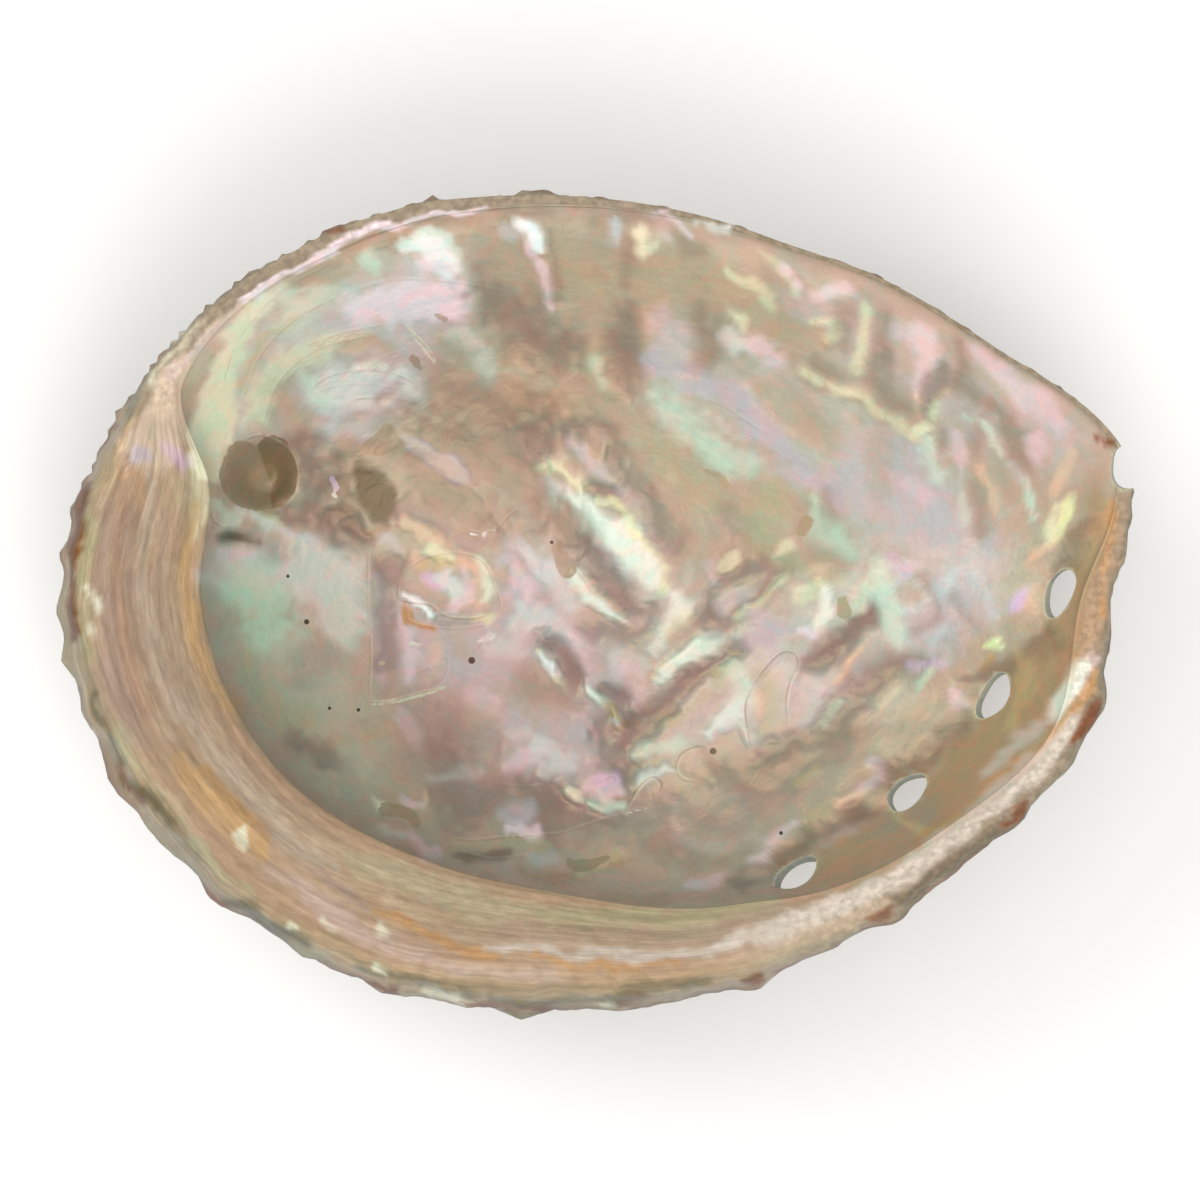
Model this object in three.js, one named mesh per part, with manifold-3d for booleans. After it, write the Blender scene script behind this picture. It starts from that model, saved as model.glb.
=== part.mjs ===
// An abalone shell lying on its back, with its bowl open upwards.
// Millimetres. +X is the front end, +Y the thin outer lip and +Z the way out of the bowl.
import * as THREE from 'three';
import Module from 'manifold-3d';

// The shell round its rim, one row for each station. The columns are the angle in degrees from
// the front end towards the outer lip, the outline's radius, how far the back bulges past the
// crest, the width of the shelf or of the bare lip edge inside the crest, and the crest's height.
const STATIONS = [
  [0, 56.3, 1.0, 2.2, 27.6],
  [10.5, 59.7, 0.6, 1.4, 27.2],
  [16.5, 59.0, 0.1, 0.8, 26.8],
  [30, 51.4, 0.0, 0.6, 26.2],
  [45, 46.4, 0.0, 0.6, 26.0],
  [60, 42.7, 0.0, 0.7, 26.2],
  [90, 41.2, 0.0, 1.0, 26.6],
  [120, 44.0, 0.1, 1.8, 26.6],
  [150, 48.0, 0.9, 2.6, 26.0],
  [162, 49.5, 3.0, 8.4, 25.6],
  [180, 50.9, 3.2, 10.5, 25.8],
  [210, 47.7, 3.6, 9.9, 27.0],
  [240, 44.2, 4.4, 9.4, 28.2],
  [270, 42.1, 5.2, 6.8, 29.0],
  [300, 44.1, 3.4, 4.8, 29.4],
  [313, 45.9, 2.0, 3.6, 29.3],
  [330, 50.0, 1.3, 2.8, 29.0],
  [345, 55.4, 1.1, 2.4, 28.2],
];
const RADIUS = 1;
const BULGE = 2;
const SHELF = 3;
const CREST = 4;

// The wall.
const WALL = 2.2;             // thickness of the back
const DOME_POWER = 2.3;       // how fast the back rises from its lowest point
const CROWN = 0.185;          // slope that moves the lowest point towards the heavy shelf
const CROWN_WAY = 242;        // direction in which it moves, in degrees
const CROWN_DROP = 1.15;      // how far the lowest point is below the middle of the bowl
const WORN = 0.4;             // what is worn off the back where it touches the ground
const COLUMELLA_POWER = 20;   // how suddenly the inside wall steepens below the shelf
const SHELF_SLOPE = 0.33;     // fall of the shelf towards the bowl
const BULGE_DEPTH = 1.3;      // depth of the widest line below the crest, per millimetre of bulge
const LIP_EDGE = 0.8;         // height of the blunt edge of the outer lip

// The coil, seen from above. The row of holes winds in from the front end to the apex.
const APEX = new THREE.Vector2(-30.8, 13.2);
const ROW_START = 87;         // distance of the row from the apex, straight ahead of it
const ROW_RATE = 0.28;        // how fast the row closes on the apex, per radian
const ROW_TIGHTENING = 0.118; // how that rate grows, per radian squared
const FIRST_HOLE = 8.6;       // angle of the youngest hole behind the front end, in degrees
const HOLE_STEP = 8.4;        // angle from it to the next one
const STEP_GROWTH = 1.12;     // growth of that step from hole to hole
const OPEN_HOLES = 4;
const SEALED_HOLES = 6;

// The holes, the notch that is becoming the next hole, and the hollow that leads into the spire.
const HOLE_LONG = 2.5;        // half length along the row
const HOLE_WIDE = 1.55;       // half width across it
const HOLE_LEAN = 0.25;       // lean of a hole outwards, in radians from the vertical
const HOLE_MOUND = 1.0;       // height of the swelling round a hole, on the back
const MOUND_WIDTH = 3.6;
const NOTCH = new THREE.Vector3(58.4, 13.6, 25);
const NOTCH_RADIUS = 2.1;
const HOLLOW = new THREE.Vector3(4.4, 3.8, 4.6);
const SPIRE_HEIGHT = 3.2;     // how far the spire stands out of the back
const SPIRE_WIDTH = 8;
const CUT_DEPTH = 40;         // length of a cutter that goes right through

// Fineness of the faceted surface.
const SLICES = 112;
const BOWL_RINGS = 14;
const NOSE_RINGS = 2;
const SHELF_RINGS = 3;
const CREST_RINGS = 3;
const DOME_RINGS = 12;

const TURN = 2 * Math.PI;
const wasm = await Module();
wasm.setup();

/** Slope of one column at a station, from its two neighbours round the rim. */
function slopeAt(index, column) {
  const count = STATIONS.length;
  const before = STATIONS[(index + count - 1) % count];
  const after = STATIONS[(index + 1) % count];
  const span = (after[0] - before[0] + 360) % 360;
  return (after[column] - before[column]) / span;
}

/** A column of the stations at any angle in radians, as a smooth closed curve. */
function around(column, angle) {
  const degrees = THREE.MathUtils.euclideanModulo(angle * THREE.MathUtils.RAD2DEG, 360);
  const index = STATIONS.findLastIndex((station) => station[0] <= degrees);
  const next = (index + 1) % STATIONS.length;
  const span = (STATIONS[next][0] - STATIONS[index][0] + 360) % 360;
  const t = (degrees - STATIONS[index][0]) / span;
  const rise = STATIONS[next][column] - STATIONS[index][column];
  const start = slopeAt(index, column) * span;
  const end = slopeAt(next, column) * span;
  return STATIONS[index][column] + t * start
    + t * t * (3 * rise - 2 * start - end)
    + t * t * t * (start + end - 2 * rise);
}

/** The measures of the shell in one direction from the middle of the bowl. */
function measuresAt(angle) {
  const radius = around(RADIUS, angle);
  const bulge = Math.max(0, around(BULGE, angle));
  const shelf = Math.max(0.5, around(SHELF, angle));
  const crest = around(CREST, angle);
  const nose = 0.09 * shelf;
  const edgeRadius = radius - bulge - shelf;
  const edgeHeight = crest - 0.2 - SHELF_SLOPE * shelf;
  return {
    radius, bulge, shelf, crest, nose, edgeRadius, edgeHeight,
    lean: -CROWN * Math.cos(angle - THREE.MathUtils.degToRad(CROWN_WAY)),
    widest: crest - LIP_EDGE - BULGE_DEPTH * bulge,
    wallRadius: edgeRadius + 0.6 * nose,
    wallHeight: edgeHeight - 2 * nose,
  };
}

/** Height of the back, at a distance from the middle of the bowl. */
function backHeight(m, r) {
  const reach = r / m.radius;
  const dome = (m.widest - CROWN_DROP + WORN) * reach ** DOME_POWER;
  return dome + m.lean * r * (1 - reach ** 2) + CROWN_DROP - WORN;
}

/** Height of the inside: the back, the wall on it, and the steep wall below the shelf. */
function bowlHeight(m, r) {
  const evenHeight = (x) => {
    const slope = DOME_POWER * m.widest * x ** (DOME_POWER - 1) / m.radius ** DOME_POWER;
    return backHeight(m, x) + WALL * Math.hypot(1, slope);
  };
  const thickening = m.wallHeight - evenHeight(m.wallRadius);
  return evenHeight(r) + thickening * (r / m.wallRadius) ** COLUMELLA_POWER;
}

/** The section in one direction, as [radius, height], from the bowl's middle over the rim. */
function sectionAt(angle) {
  const m = measuresAt(angle);
  const section = [];
  for (let i = 1; i <= BOWL_RINGS; i += 1) {
    const r = m.wallRadius * (i / BOWL_RINGS) ** 0.85;
    section.push([r, bowlHeight(m, r)]);
  }
  for (let i = 1; i <= NOSE_RINGS; i += 1) {
    const turn = Math.PI * i / NOSE_RINGS;
    const r = m.edgeRadius + 0.6 * m.nose * Math.cos(turn / 2) - 0.8 * m.nose * Math.sin(turn);
    section.push([r, m.edgeHeight - m.nose * (1 + Math.cos(turn))]);
  }
  for (let i = 1; i <= SHELF_RINGS; i += 1) {
    const t = i / SHELF_RINGS;
    const fall = (m.crest - m.edgeHeight) * (1 - t) ** 1.3;
    section.push([m.edgeRadius + t * m.shelf, m.crest - fall]);
  }
  for (let i = 1; i <= CREST_RINGS; i += 1) {
    const turn = Math.PI / 2 * i / CREST_RINGS;
    const r = m.radius - m.bulge * (1 - Math.sin(turn));
    section.push([r, m.widest + (m.crest - m.widest) * Math.cos(turn)]);
  }
  for (let i = DOME_RINGS - 1; i >= 1; i -= 1) {
    const r = m.radius * (i / DOME_RINGS) ** 0.85;
    section.push([r, backHeight(m, r)]);
  }
  return section;
}

/** The row of holes, at an angle in radians round the apex from the front end. */
function rowPoint(angle) {
  const r = ROW_START * Math.exp(-ROW_RATE * angle - ROW_TIGHTENING * angle * angle);
  return new THREE.Vector2(r * Math.cos(angle), -r * Math.sin(angle)).add(APEX);
}

/** Where the holes are, open ones first, each with the direction of the row there. */
function rowOfHoles() {
  const holes = [];
  let degrees = FIRST_HOLE;
  let step = HOLE_STEP;
  for (let i = 0; i < OPEN_HOLES + SEALED_HOLES; i += 1) {
    const angle = degrees * THREE.MathUtils.DEG2RAD;
    const along = rowPoint(angle + 0.02).sub(rowPoint(angle - 0.02)).normalize();
    holes.push({ place: rowPoint(angle), along });
    degrees += step;
    step *= STEP_GROWTH;
  }
  return holes;
}

/** How far the spire and the swellings round the holes stand out of the back at a point. */
function swellingAt(point, holes) {
  const mound = (centre, height, width) =>
    height * Math.exp(-point.distanceToSquared(centre) / width ** 2);
  const spire = mound(APEX, SPIRE_HEIGHT, SPIRE_WIDTH);
  return holes.reduce((sum, hole) => sum + mound(hole.place, HOLE_MOUND, MOUND_WIDTH), spire);
}

/** The whole shell before it is pierced: a closed net of slices and rings with two poles. */
function blankGeometry(holes) {
  const positions = [];
  const backStart = BOWL_RINGS + NOSE_RINGS + SHELF_RINGS + CREST_RINGS;
  for (let slice = 0; slice < SLICES; slice += 1) {
    const angle = TURN * slice / SLICES;
    sectionAt(angle).forEach(([r, height], ring) => {
      const point = new THREE.Vector2(r * Math.cos(angle), r * Math.sin(angle));
      const onBack = ring >= backStart;
      const z = onBack ? Math.max(0, height - swellingAt(point, holes)) : height;
      positions.push(point.x, point.y, z);
    });
  }
  const middle = measuresAt(0);
  const rings = positions.length / 3 / SLICES;
  const insidePole = rings * SLICES;
  const backPole = insidePole + 1;
  positions.push(0, 0, bowlHeight(middle, 0), 0, 0, backHeight(middle, 0));

  const faces = [];
  for (let slice = 0; slice < SLICES; slice += 1) {
    const here = slice * rings;
    const next = ((slice + 1) % SLICES) * rings;
    faces.push(insidePole, here, next);
    for (let ring = 0; ring < rings - 1; ring += 1) {
      faces.push(here + ring, here + ring + 1, next + ring + 1);
      faces.push(here + ring, next + ring + 1, next + ring);
    }
    faces.push(here + rings - 1, backPole, next + rings - 1);
  }
  return netGeometry(new Float32Array(positions), faces);
}

/** A geometry from bare points and faces. */
function netGeometry(points, faces) {
  const geometry = new THREE.BufferGeometry();
  geometry.setAttribute('position', new THREE.BufferAttribute(points, 3));
  geometry.setIndex([...faces]);
  return geometry;
}

/** A closed indexed geometry as a solid that can be cut. */
function solidOf(geometry) {
  const vertProperties = new Float32Array(geometry.getAttribute('position').array);
  const triVerts = new Uint32Array(geometry.getIndex().array);
  return new wasm.Manifold(new wasm.Mesh({ numProp: 3, vertProperties, triVerts }));
}

/** A closed net round a stack of rings, each ring a list of points, with flat ends. */
function stackGeometry(rings) {
  const size = rings[0].length;
  const points = rings.flat();
  const faces = [];
  for (let ring = 0; ring < rings.length - 1; ring += 1) {
    for (let i = 0; i < size; i += 1) {
      const a = ring * size + i;
      const b = ring * size + (i + 1) % size;
      faces.push(a, b, b + size, a, b + size, a + size);
    }
  }
  const last = (rings.length - 1) * size;
  for (let i = 1; i < size - 1; i += 1) {
    faces.push(0, i + 1, i, last, last + i, last + i + 1);
  }
  return netGeometry(new Float32Array(points.flatMap((point) => point.toArray())), faces);
}

/** A cutter with an oval section, through a place, leaning outwards from the bowl's middle. */
function ovalCutter(place, along, halfLong, halfWide) {
  const outwards = new THREE.Vector3(place.x, place.y, 0).normalize();
  const axis = new THREE.Vector3(0, 0, 1).multiplyScalar(Math.cos(HOLE_LEAN))
    .addScaledVector(outwards, -Math.sin(HOLE_LEAN));
  const long = new THREE.Vector3(along.x, along.y, 0);
  long.addScaledVector(axis, -long.dot(axis)).normalize();
  const wide = new THREE.Vector3().crossVectors(axis, long);
  const rings = [-CUT_DEPTH / 2, CUT_DEPTH / 2].map((distance) =>
    Array.from({ length: 20 }, (_, i) => new THREE.Vector3(place.x, place.y, place.z)
      .addScaledVector(axis, distance)
      .addScaledVector(long, halfLong * Math.cos(TURN * i / 20))
      .addScaledVector(wide, halfWide * Math.sin(TURN * i / 20))));
  return stackGeometry(rings);
}

/** The height of the inside at a point seen from above. */
function insideAt(point) {
  const angle = Math.atan2(point.y, point.x);
  return bowlHeight(measuresAt(angle), point.length());
}

/** The rounded hollow where the bowl runs on into the spire. */
function hollowGeometry() {
  const steps = 8;
  const centre = new THREE.Vector3(APEX.x, APEX.y, insideAt(APEX) + 1);
  const rings = [];
  for (let j = 0; j < steps; j += 1) {
    const polar = Math.PI * (j + 0.5) / steps;
    rings.push(Array.from({ length: 18 }, (_, i) => new THREE.Vector3(
      Math.sin(polar) * Math.cos(TURN * i / 18),
      Math.sin(polar) * Math.sin(TURN * i / 18),
      -Math.cos(polar),
    ).multiply(HOLLOW).add(centre)));
  }
  return stackGeometry(rings);
}

/** The shell with its holes, its notch and the hollow of the spire cut into it. */
function shellGeometry() {
  const holes = rowOfHoles();
  let shell = solidOf(blankGeometry(holes));
  for (const { place, along } of holes.slice(0, OPEN_HOLES)) {
    const middle = new THREE.Vector3(place.x, place.y, insideAt(place) - 2);
    shell = shell.subtract(solidOf(ovalCutter(middle, along, HOLE_LONG, HOLE_WIDE)));
  }
  const sideways = new THREE.Vector2(-NOTCH.y, NOTCH.x).normalize();
  shell = shell.subtract(solidOf(ovalCutter(NOTCH, sideways, NOTCH_RADIUS, NOTCH_RADIUS)));
  shell = shell.subtract(solidOf(hollowGeometry()));
  const { vertProperties, triVerts } = shell.getMesh();
  return netGeometry(vertProperties, triVerts);
}

/** The shell as a mesh, with the middle of its box over the origin. */
function shellMesh() {
  const geometry = shellGeometry();
  geometry.computeBoundingBox();
  const middle = geometry.boundingBox.getCenter(new THREE.Vector3());
  geometry.translate(-middle.x, -middle.y, 0);
  const nacre = new THREE.MeshStandardMaterial({ color: '#b7a48c', roughness: 0.35, metalness: 0 });
  const mesh = new THREE.Mesh(geometry, nacre);
  mesh.name = 'shell';
  return mesh;
}

const abalone = new THREE.Group();
abalone.name = 'abalone_shell';
abalone.add(shellMesh());

export default abalone;
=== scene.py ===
"""An abalone shell lying on its back on a pale floor, with its bowl open upwards.

The shell is one grown piece. Its form is a closed net of slices and rings: the bowl, the rounded
inner edge of the shelf, the shelf, the crest of the rim and the back. Lengths are in millimetres
from the middle of the bowl: x towards the front end, y towards the outer lip, z out of the bowl.
"""
import logging
import math
from dataclasses import dataclass
from enum import Enum

import bpy
import numpy as np
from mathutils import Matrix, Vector
from mathutils.kdtree import KDTree


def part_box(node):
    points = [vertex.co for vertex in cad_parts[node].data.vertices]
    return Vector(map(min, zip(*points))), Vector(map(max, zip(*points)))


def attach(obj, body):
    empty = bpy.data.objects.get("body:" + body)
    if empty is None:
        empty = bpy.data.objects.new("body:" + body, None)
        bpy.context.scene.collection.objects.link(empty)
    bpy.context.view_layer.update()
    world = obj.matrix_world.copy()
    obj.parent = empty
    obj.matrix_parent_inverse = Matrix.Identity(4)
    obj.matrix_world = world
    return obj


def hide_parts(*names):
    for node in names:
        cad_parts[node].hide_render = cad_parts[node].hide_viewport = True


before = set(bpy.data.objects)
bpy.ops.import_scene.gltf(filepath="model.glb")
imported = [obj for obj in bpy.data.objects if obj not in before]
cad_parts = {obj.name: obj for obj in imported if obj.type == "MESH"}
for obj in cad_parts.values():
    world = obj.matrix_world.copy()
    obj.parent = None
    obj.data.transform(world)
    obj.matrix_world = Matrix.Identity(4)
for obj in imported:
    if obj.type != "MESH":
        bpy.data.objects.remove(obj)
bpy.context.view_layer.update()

LOG = logging.getLogger("abalone")
MM = 0.001
TURN = 2.0 * math.pi


class Tint(Enum):
    """The shell's colours: sRGB hex, and how far each stands out of the bowl, in mm.

    The play of colour of mother of pearl follows its folds, so a crest has another tint than the
    trough beside it. The darker tints, which lie in the troughs, are partly painted shade, and the
    palest, on the crests, are partly painted sheen.
    """

    TAUPE = ("B5A18C", 0.0)
    BROWN = ("A28C7C", -0.25)
    # Painted shade: the dark taupe laid along the troughs of the folds.
    DUSK = ("93817A", -0.45)
    UMBER = ("7F6D67", -0.5)
    TAN = ("BAA087", -0.05)
    CLAY = ("AE8A72", -0.1)
    MAUVE = ("A08D87", -0.15)
    PLUM = ("93807B", -0.3)
    GREY = ("A09A90", -0.15)
    SAGE = ("B6B19B", 0.0)
    MOSS = ("B0A985", 0.0)
    KHAKI = ("A69E78", 0.0)
    OLIVE = ("AC8A6A", -0.1)
    BISQUE = ("CBB296", 0.0)
    SAND = ("BBA285", 0.0)
    GOLD = ("C6AB70", 0.1)
    HONEY = ("C49A66", 0.0)
    HORN = ("B09072", 0.0)
    AMBER = ("BF8D56", 0.0)
    PEACH = ("D9B192", 0.2)
    ROSE = ("C8B2B1", 0.1)
    PINK = ("D8BABD", 0.15)
    BLUSH = ("E2CACF", 0.2)
    LILAC = ("BEAFB6", 0.05)
    VIOLET = ("D6AFD4", 0.1)
    MIST = ("C9C7BC", 0.2)
    SILVER = ("D0CFC7", 0.25)
    PEARL = ("E9ECE4", 0.35)
    PALE = ("DADFCB", 0.35)
    SKY = ("BBC6C7", 0.1)
    JADE = ("B0CCAF", 0.1)
    MINT = ("BED2BA", 0.15)
    LIME = ("D5DD96", 0.25)
    STRAW = ("D3D3A5", 0.3)
    CREAM = ("DAD5B4", 0.2)
    CHALK = ("C6B8A8", 0.0)
    STONE = ("74685A", 0.0)
    CRUST = ("92836F", 0.0)
    SLATE = ("6A625B", -0.2)
    RUST = ("84503F", 0.0)
    CAVE = ("A98D68", 0.0)

    @property
    def code(self) -> str:
        """The colour's sRGB hex."""
        return self.value[0]

    @property
    def rise(self) -> float:
        """How far it stands out, in mm."""
        return self.value[1]


# Strokes of colour on the inside and the rim, in the order in which they are laid: tint, strength,
# softness of the edge in mm, and a path of places with the half width there, all in mm.
STROKES = (
    # Broad fields of the bowl.
    ("MIST", 0.7, 3, ((-34, 19, 2.5), (-31, 26, 3), (-23, 29, 4), (-14, 31, 4), (-9, 33, 2.5))),
    ("LILAC", 0.55, 3, ((-25, 20, 3), (-19, 23, 4), (-13, 29, 3.5))),
    ("MIST", 0.5, 4, ((11, 24, 3), (19, 21, 4), (28, 16, 5), (37, 9, 6), (43, 2, 4))),
    ("ROSE", 0.6, 2.5, ((25, 30, 2), (34, 25, 3), (42, 21, 3.5), (50, 15.5, 2.5))),
    ("MIST", 0.6, 3.5, ((-2, 11, 2), (6, 4, 4), (13, -3, 4.5), (21, -5, 4), (30, 0, 4), (36, -4, 3))),
    ("LILAC", 0.65, 3, ((-18, -2, 2.5), (-11, -6, 4), (-3, -3, 4), (4, -8, 3.5), (1, -16, 4),
        (-6, -14, 3))),
    ("LILAC", 0.5, 3, ((13, -13, 3), (22, -11, 3), (31, -8, 3))),
    ("LILAC", 0.65, 2.5, ((33, 13, 4), (38, 9, 4), (42, 4, 3.5), (39, -3, 3))),
    ("TAN", 0.7, 2, ((-6, 35, 2.5), (2, 34, 2.5), (8, 31, 2), (5, 24, 3.5), (-4, 22, 3), (4, 18, 2.5))),
    ("MAUVE", 0.7, 2.5, ((-14, -13, 3.5), (-11, -19, 4), (-4, -22, 3), (5, -22, 3), (12, -23, 3),
        (20, -20, 3.5), (28, -15, 2))),
    ("SAGE", 0.9, 2, ((-30, -7, 4.5), (-26, -13, 4), (-22, -17.5, 3.2))),
    ("MIST", 0.8, 1.5, ((-33, 4, 2.5), (-25, 3, 3.5), (-23, -2, 2.2))),
    ("SAND", 0.8, 1.2, ((1, 33.5, 1.5), (9, 33.3, 2.2), (15, 32.5, 2.2), (20, 30, 1.4), (24, 27.5, 1.2),
        (27, 26.3, 0.7))),
    ("OLIVE", 0.9, 1.6, ((55.2, 10, 1.4), (54.5, 4, 2.2), (51.5, -4, 3), (48, -10, 3.2), (43, -16, 3.4),
        (37, -22, 3.4),
        (30, -26.5, 2.6), (24, -28.8, 1.6))),
    # Upper left: the lip's crust, its pearly line, the beige band and the straw edge of the nacre.
    ("BISQUE", 0.95, 0.7, ((-41.5, 15, 2.4), (-39.5, 20.5, 2.5), (-36.6, 26, 1.9), (-32, 30.4, 1))),
    ("BROWN", 0.4, 0.6, ((-38.3, 18, 0.8), (-38, 21.5, 1))),
    ("ROSE", 0.5, 0.4, ((-39.5, 22.5, 0.3), (-36, 26.8, 0.5), (-33, 29, 0.4))),
    ("CREAM", 0.95, 0.5, ((-36.2, 14, 1.2), (-35.8, 18, 1.7), (-34.3, 23.5, 1.1), (-32.8, 27.5, 1.2),
        (-29.5, 30.5, 0.7))),
    ("STRAW", 0.6, 0.7, ((-35.5, 18, 0.9), (-34.2, 23, 0.9), (-32, 28, 0.7))),
    ("STRAW", 0.55, 0.9, ((-31.3, 19.5, 1.3), (-29.3, 23.5, 1.3), (-25, 25.6, 0.9), (-20.5, 27.2, 0.6))),
    ("MINT", 0.5, 0.7, ((-30, 30.8, 0.7), (-27, 31.6, 0.6))),
    ("CREAM", 0.5, 0.9, ((-28, 28.5, 1.2), (-24.5, 31.3, 1.1))),
    ("GOLD", 0.5, 0.5, ((-32.5, 22, 0.3), (-30.5, 26, 0.35), (-27, 28.8, 0.3))),
    ("SAND", 0.6, 0.5, ((-27.5, 32.4, 0.3), (-24, 33, 0.4), (-21, 34.2, 0.3))),
    ("BROWN", 0.75, 0.45, ((-27, 33.2, 0.2), (-22, 35.8, 0.5), (-16, 37.8, 0.5), (-9.5, 38.9, 0.55),
        (-2, 39.3, 0.4), (7, 39, 0.3))),
    ("CLAY", 0.3, 0.3, ((-22, 35.8, 0.3), (-16, 37.8, 0.3), (-9.5, 38.9, 0.4), (-2, 39.3, 0.3))),
    ("PEARL", 0.9, 0.6, ((-15.8, 36.6, 0.8), (-13.3, 36.5, 1.7), (-12, 34.8, 1.6), (-10.8, 33, 1))),
    ("MINT", 0.7, 0.4, ((-16.5, 36.5, 0.3), (-13, 37.8, 0.35), (-11.2, 36.8, 0.3), (-9.9, 33.6, 0.35))),
    ("BLUSH", 0.7, 0.7, ((-14.3, 34.1, 0.6), (-12.3, 33.7, 0.6))),
    ("BLUSH", 0.95, 0.8, ((-15, 30.9, 1.5), (-10.7, 30.9, 1.9))),
    ("BLUSH", 0.9, 0.8, ((-21.5, 29.6, 1.2), (-17.3, 30.2, 1.5))),
    ("SKY", 0.55, 0.4, ((-22, 31.8, 0.3), (-18.4, 32.2, 0.3))),
    ("MINT", 0.8, 0.5, ((-19.8, 34.6, 0.3), (-19.2, 33.2, 0.6))),
    ("LILAC", 0.5, 0.8, ((-24, 28.6, 0.9), (-22.5, 28.2, 0.8))),
    ("SAND", 0.7, 0.6, ((-22.3, 26, 0.3), (-20, 26.9, 0.5), (-18, 26.2, 0.5))),
    ("MINT", 0.6, 0.5, ((-20.3, 24.7, 0.4), (-18.3, 24.4, 0.4))),
    ("SILVER", 0.8, 1, ((-24, 21.5, 1.6), (-20, 22, 2.3), (-15.8, 21.6, 1.8))),
    ("LILAC", 0.5, 0.8, ((-18.5, 22.5, 1), (-16, 20, 1))),
    ("ROSE", 0.6, 0.8, ((-22.8, 17.8, 0.8), (-20.8, 17.2, 1))),
    ("SKY", 0.4, 0.6, ((-24, 18.2, 0.5), (-22.3, 20, 0.6))),
    ("MINT", 0.6, 0.6, ((-26.3, 23.4, 0.3), (-24.7, 20.7, 0.5))),
    ("TAN", 0.7, 0.9, ((-28.5, 21, 0.7), (-26.5, 18.5, 1.2), (-27, 15.5, 0.8))),
    ("MAUVE", 0.6, 0.8, ((-26, 13.5, 1), (-25, 16, 0.8))),
    ("MOSS", 0.6, 1, ((-12.5, 27, 0.8), (-9.5, 26.3, 1.3), (-7, 24.6, 0.9))),
    ("MIST", 0.6, 0.8, ((-11.5, 27.6, 0.6), (-8.5, 26, 0.8), (-7, 23.5, 0.6))),
    ("BROWN", 0.85, 1.1, ((-12, 24, 1), (-11.5, 21.5, 1.5), (-8, 19, 2), (-3, 19, 1.5))),
    ("BROWN", 0.9, 1, ((-8, 33, 1.4), (-5.5, 29.5, 1.6), (-3, 27, 1.8), (0.8, 25, 1.3))),
    ("DUSK", 0.5, 1, ((-6, 30, 1.2), (-3, 28, 1), (1, 26.5, 1))),
    ("BROWN", 0.8, 0.8, ((7, 29.8, 0.8), (6.6, 26, 1), (6.6, 22.5, 0.9))),
    ("DUSK", 0.5, 0.7, ((7, 28.5, 0.5), (7, 23, 0.6))),
    # Along the outer lip: facets between its folds.
    ("PEARL", 0.95, 0.4, ((-4.4, 38, 0.5), (-2.8, 37.6, 0.9), (-2.1, 35.8, 0.7))),
    ("SKY", 0.5, 0.5, ((-5.8, 37.4, 0.5), (-4.6, 37.4, 0.6))),
    ("BLUSH", 0.65, 0.4, ((-3.2, 35.8, 0.6), (-2, 33.6, 0.6), (-1.2, 31.2, 0.3), (-0.9, 29.8, 0.15))),
    ("BROWN", 0.6, 0.25, ((-1.4, 37.8, 0.15), (-0.7, 34, 0.2), (-0.2, 30.8, 0.15))),
    ("SAND", 0.6, 0.6, ((0.8, 36.6, 0.4), (0.6, 33.8, 0.6))),
    ("SKY", 0.75, 0.35, ((5.8, 38.3, 0.5), (5.7, 36.6, 0.3))),
    ("PEACH", 0.4, 0.5, ((5.9, 33.8, 0.4), (6.3, 31, 0.3))),
    ("BROWN", 0.6, 0.4, ((7.1, 40, 0.3), (7, 36, 0.3), (7, 32, 0.3))),
    ("CREAM", 0.9, 0.5, ((8, 37.6, 0.4), (8.4, 36, 0.7), (9.6, 36.2, 0.4))),
    ("STRAW", 0.5, 0.5, ((8, 37.8, 0.4), (8.3, 36.2, 0.6))),
    ("BLUSH", 0.5, 0.5, ((10.2, 37.4, 0.5), (10.9, 36.6, 0.5))),
    ("BLUSH", 0.6, 0.3, ((9.5, 39.2, 0.2), (11.5, 38.1, 0.3), (13.3, 37.1, 0.3))),
    ("PEARL", 0.5, 0.25, ((14, 38.4, 0.12), (17, 37.9, 0.15))),
    ("BROWN", 0.6, 0.25, ((9.3, 38.4, 0.15), (11.3, 37, 0.15), (13.7, 35.4, 0.2))),
    ("STRAW", 0.6, 0.4, ((17.3, 33.4, 0.2), (19.8, 32.1, 0.4), (21.6, 30, 0.3))),
    ("STRAW", 0.5, 0.4, ((20.3, 35.7, 0.3), (22.5, 33.8, 0.3), (24, 31.6, 0.25))),
    ("BLUSH", 0.6, 0.4, ((22.3, 34.4, 0.2), (24.2, 32.6, 0.4))),
    ("BLUSH", 0.55, 0.5, ((26.3, 31.7, 0.5), (29, 31.4, 0.5))),
    ("STRAW", 0.6, 0.4, ((25.8, 28.6, 0.2), (28, 28.2, 0.4), (27.6, 27, 0.4))),
    ("MOSS", 0.7, 0.7, ((3.6, 25.4, 0.7), (3.9, 23.4, 0.8), (5.4, 21.6, 0.5))),
    ("MINT", 0.35, 0.5, ((3.7, 24.8, 0.5), (4.6, 22.4, 0.5))),
    ("ROSE", 0.75, 1, ((10, 28.6, 1.2), (12.8, 27, 1.3), (11, 25.7, 1))),
    ("PEACH", 0.4, 0.8, ((8.8, 30, 0.6), (9, 27, 0.6))),
    ("LILAC", 0.8, 0.8, ((9.5, 24.4, 0.9), (13, 24, 0.9))),
    ("BROWN", 0.75, 0.5, ((14.5, 29, 0.5), (14.7, 26.5, 0.4), (14.5, 24, 0.25))),
    ("BROWN", 0.6, 0.5, ((16, 29, 0.3), (16, 26, 0.4))),
    ("STRAW", 0.6, 0.6, ((17.4, 29.2, 0.5), (19, 28.2, 0.5))),
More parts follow.
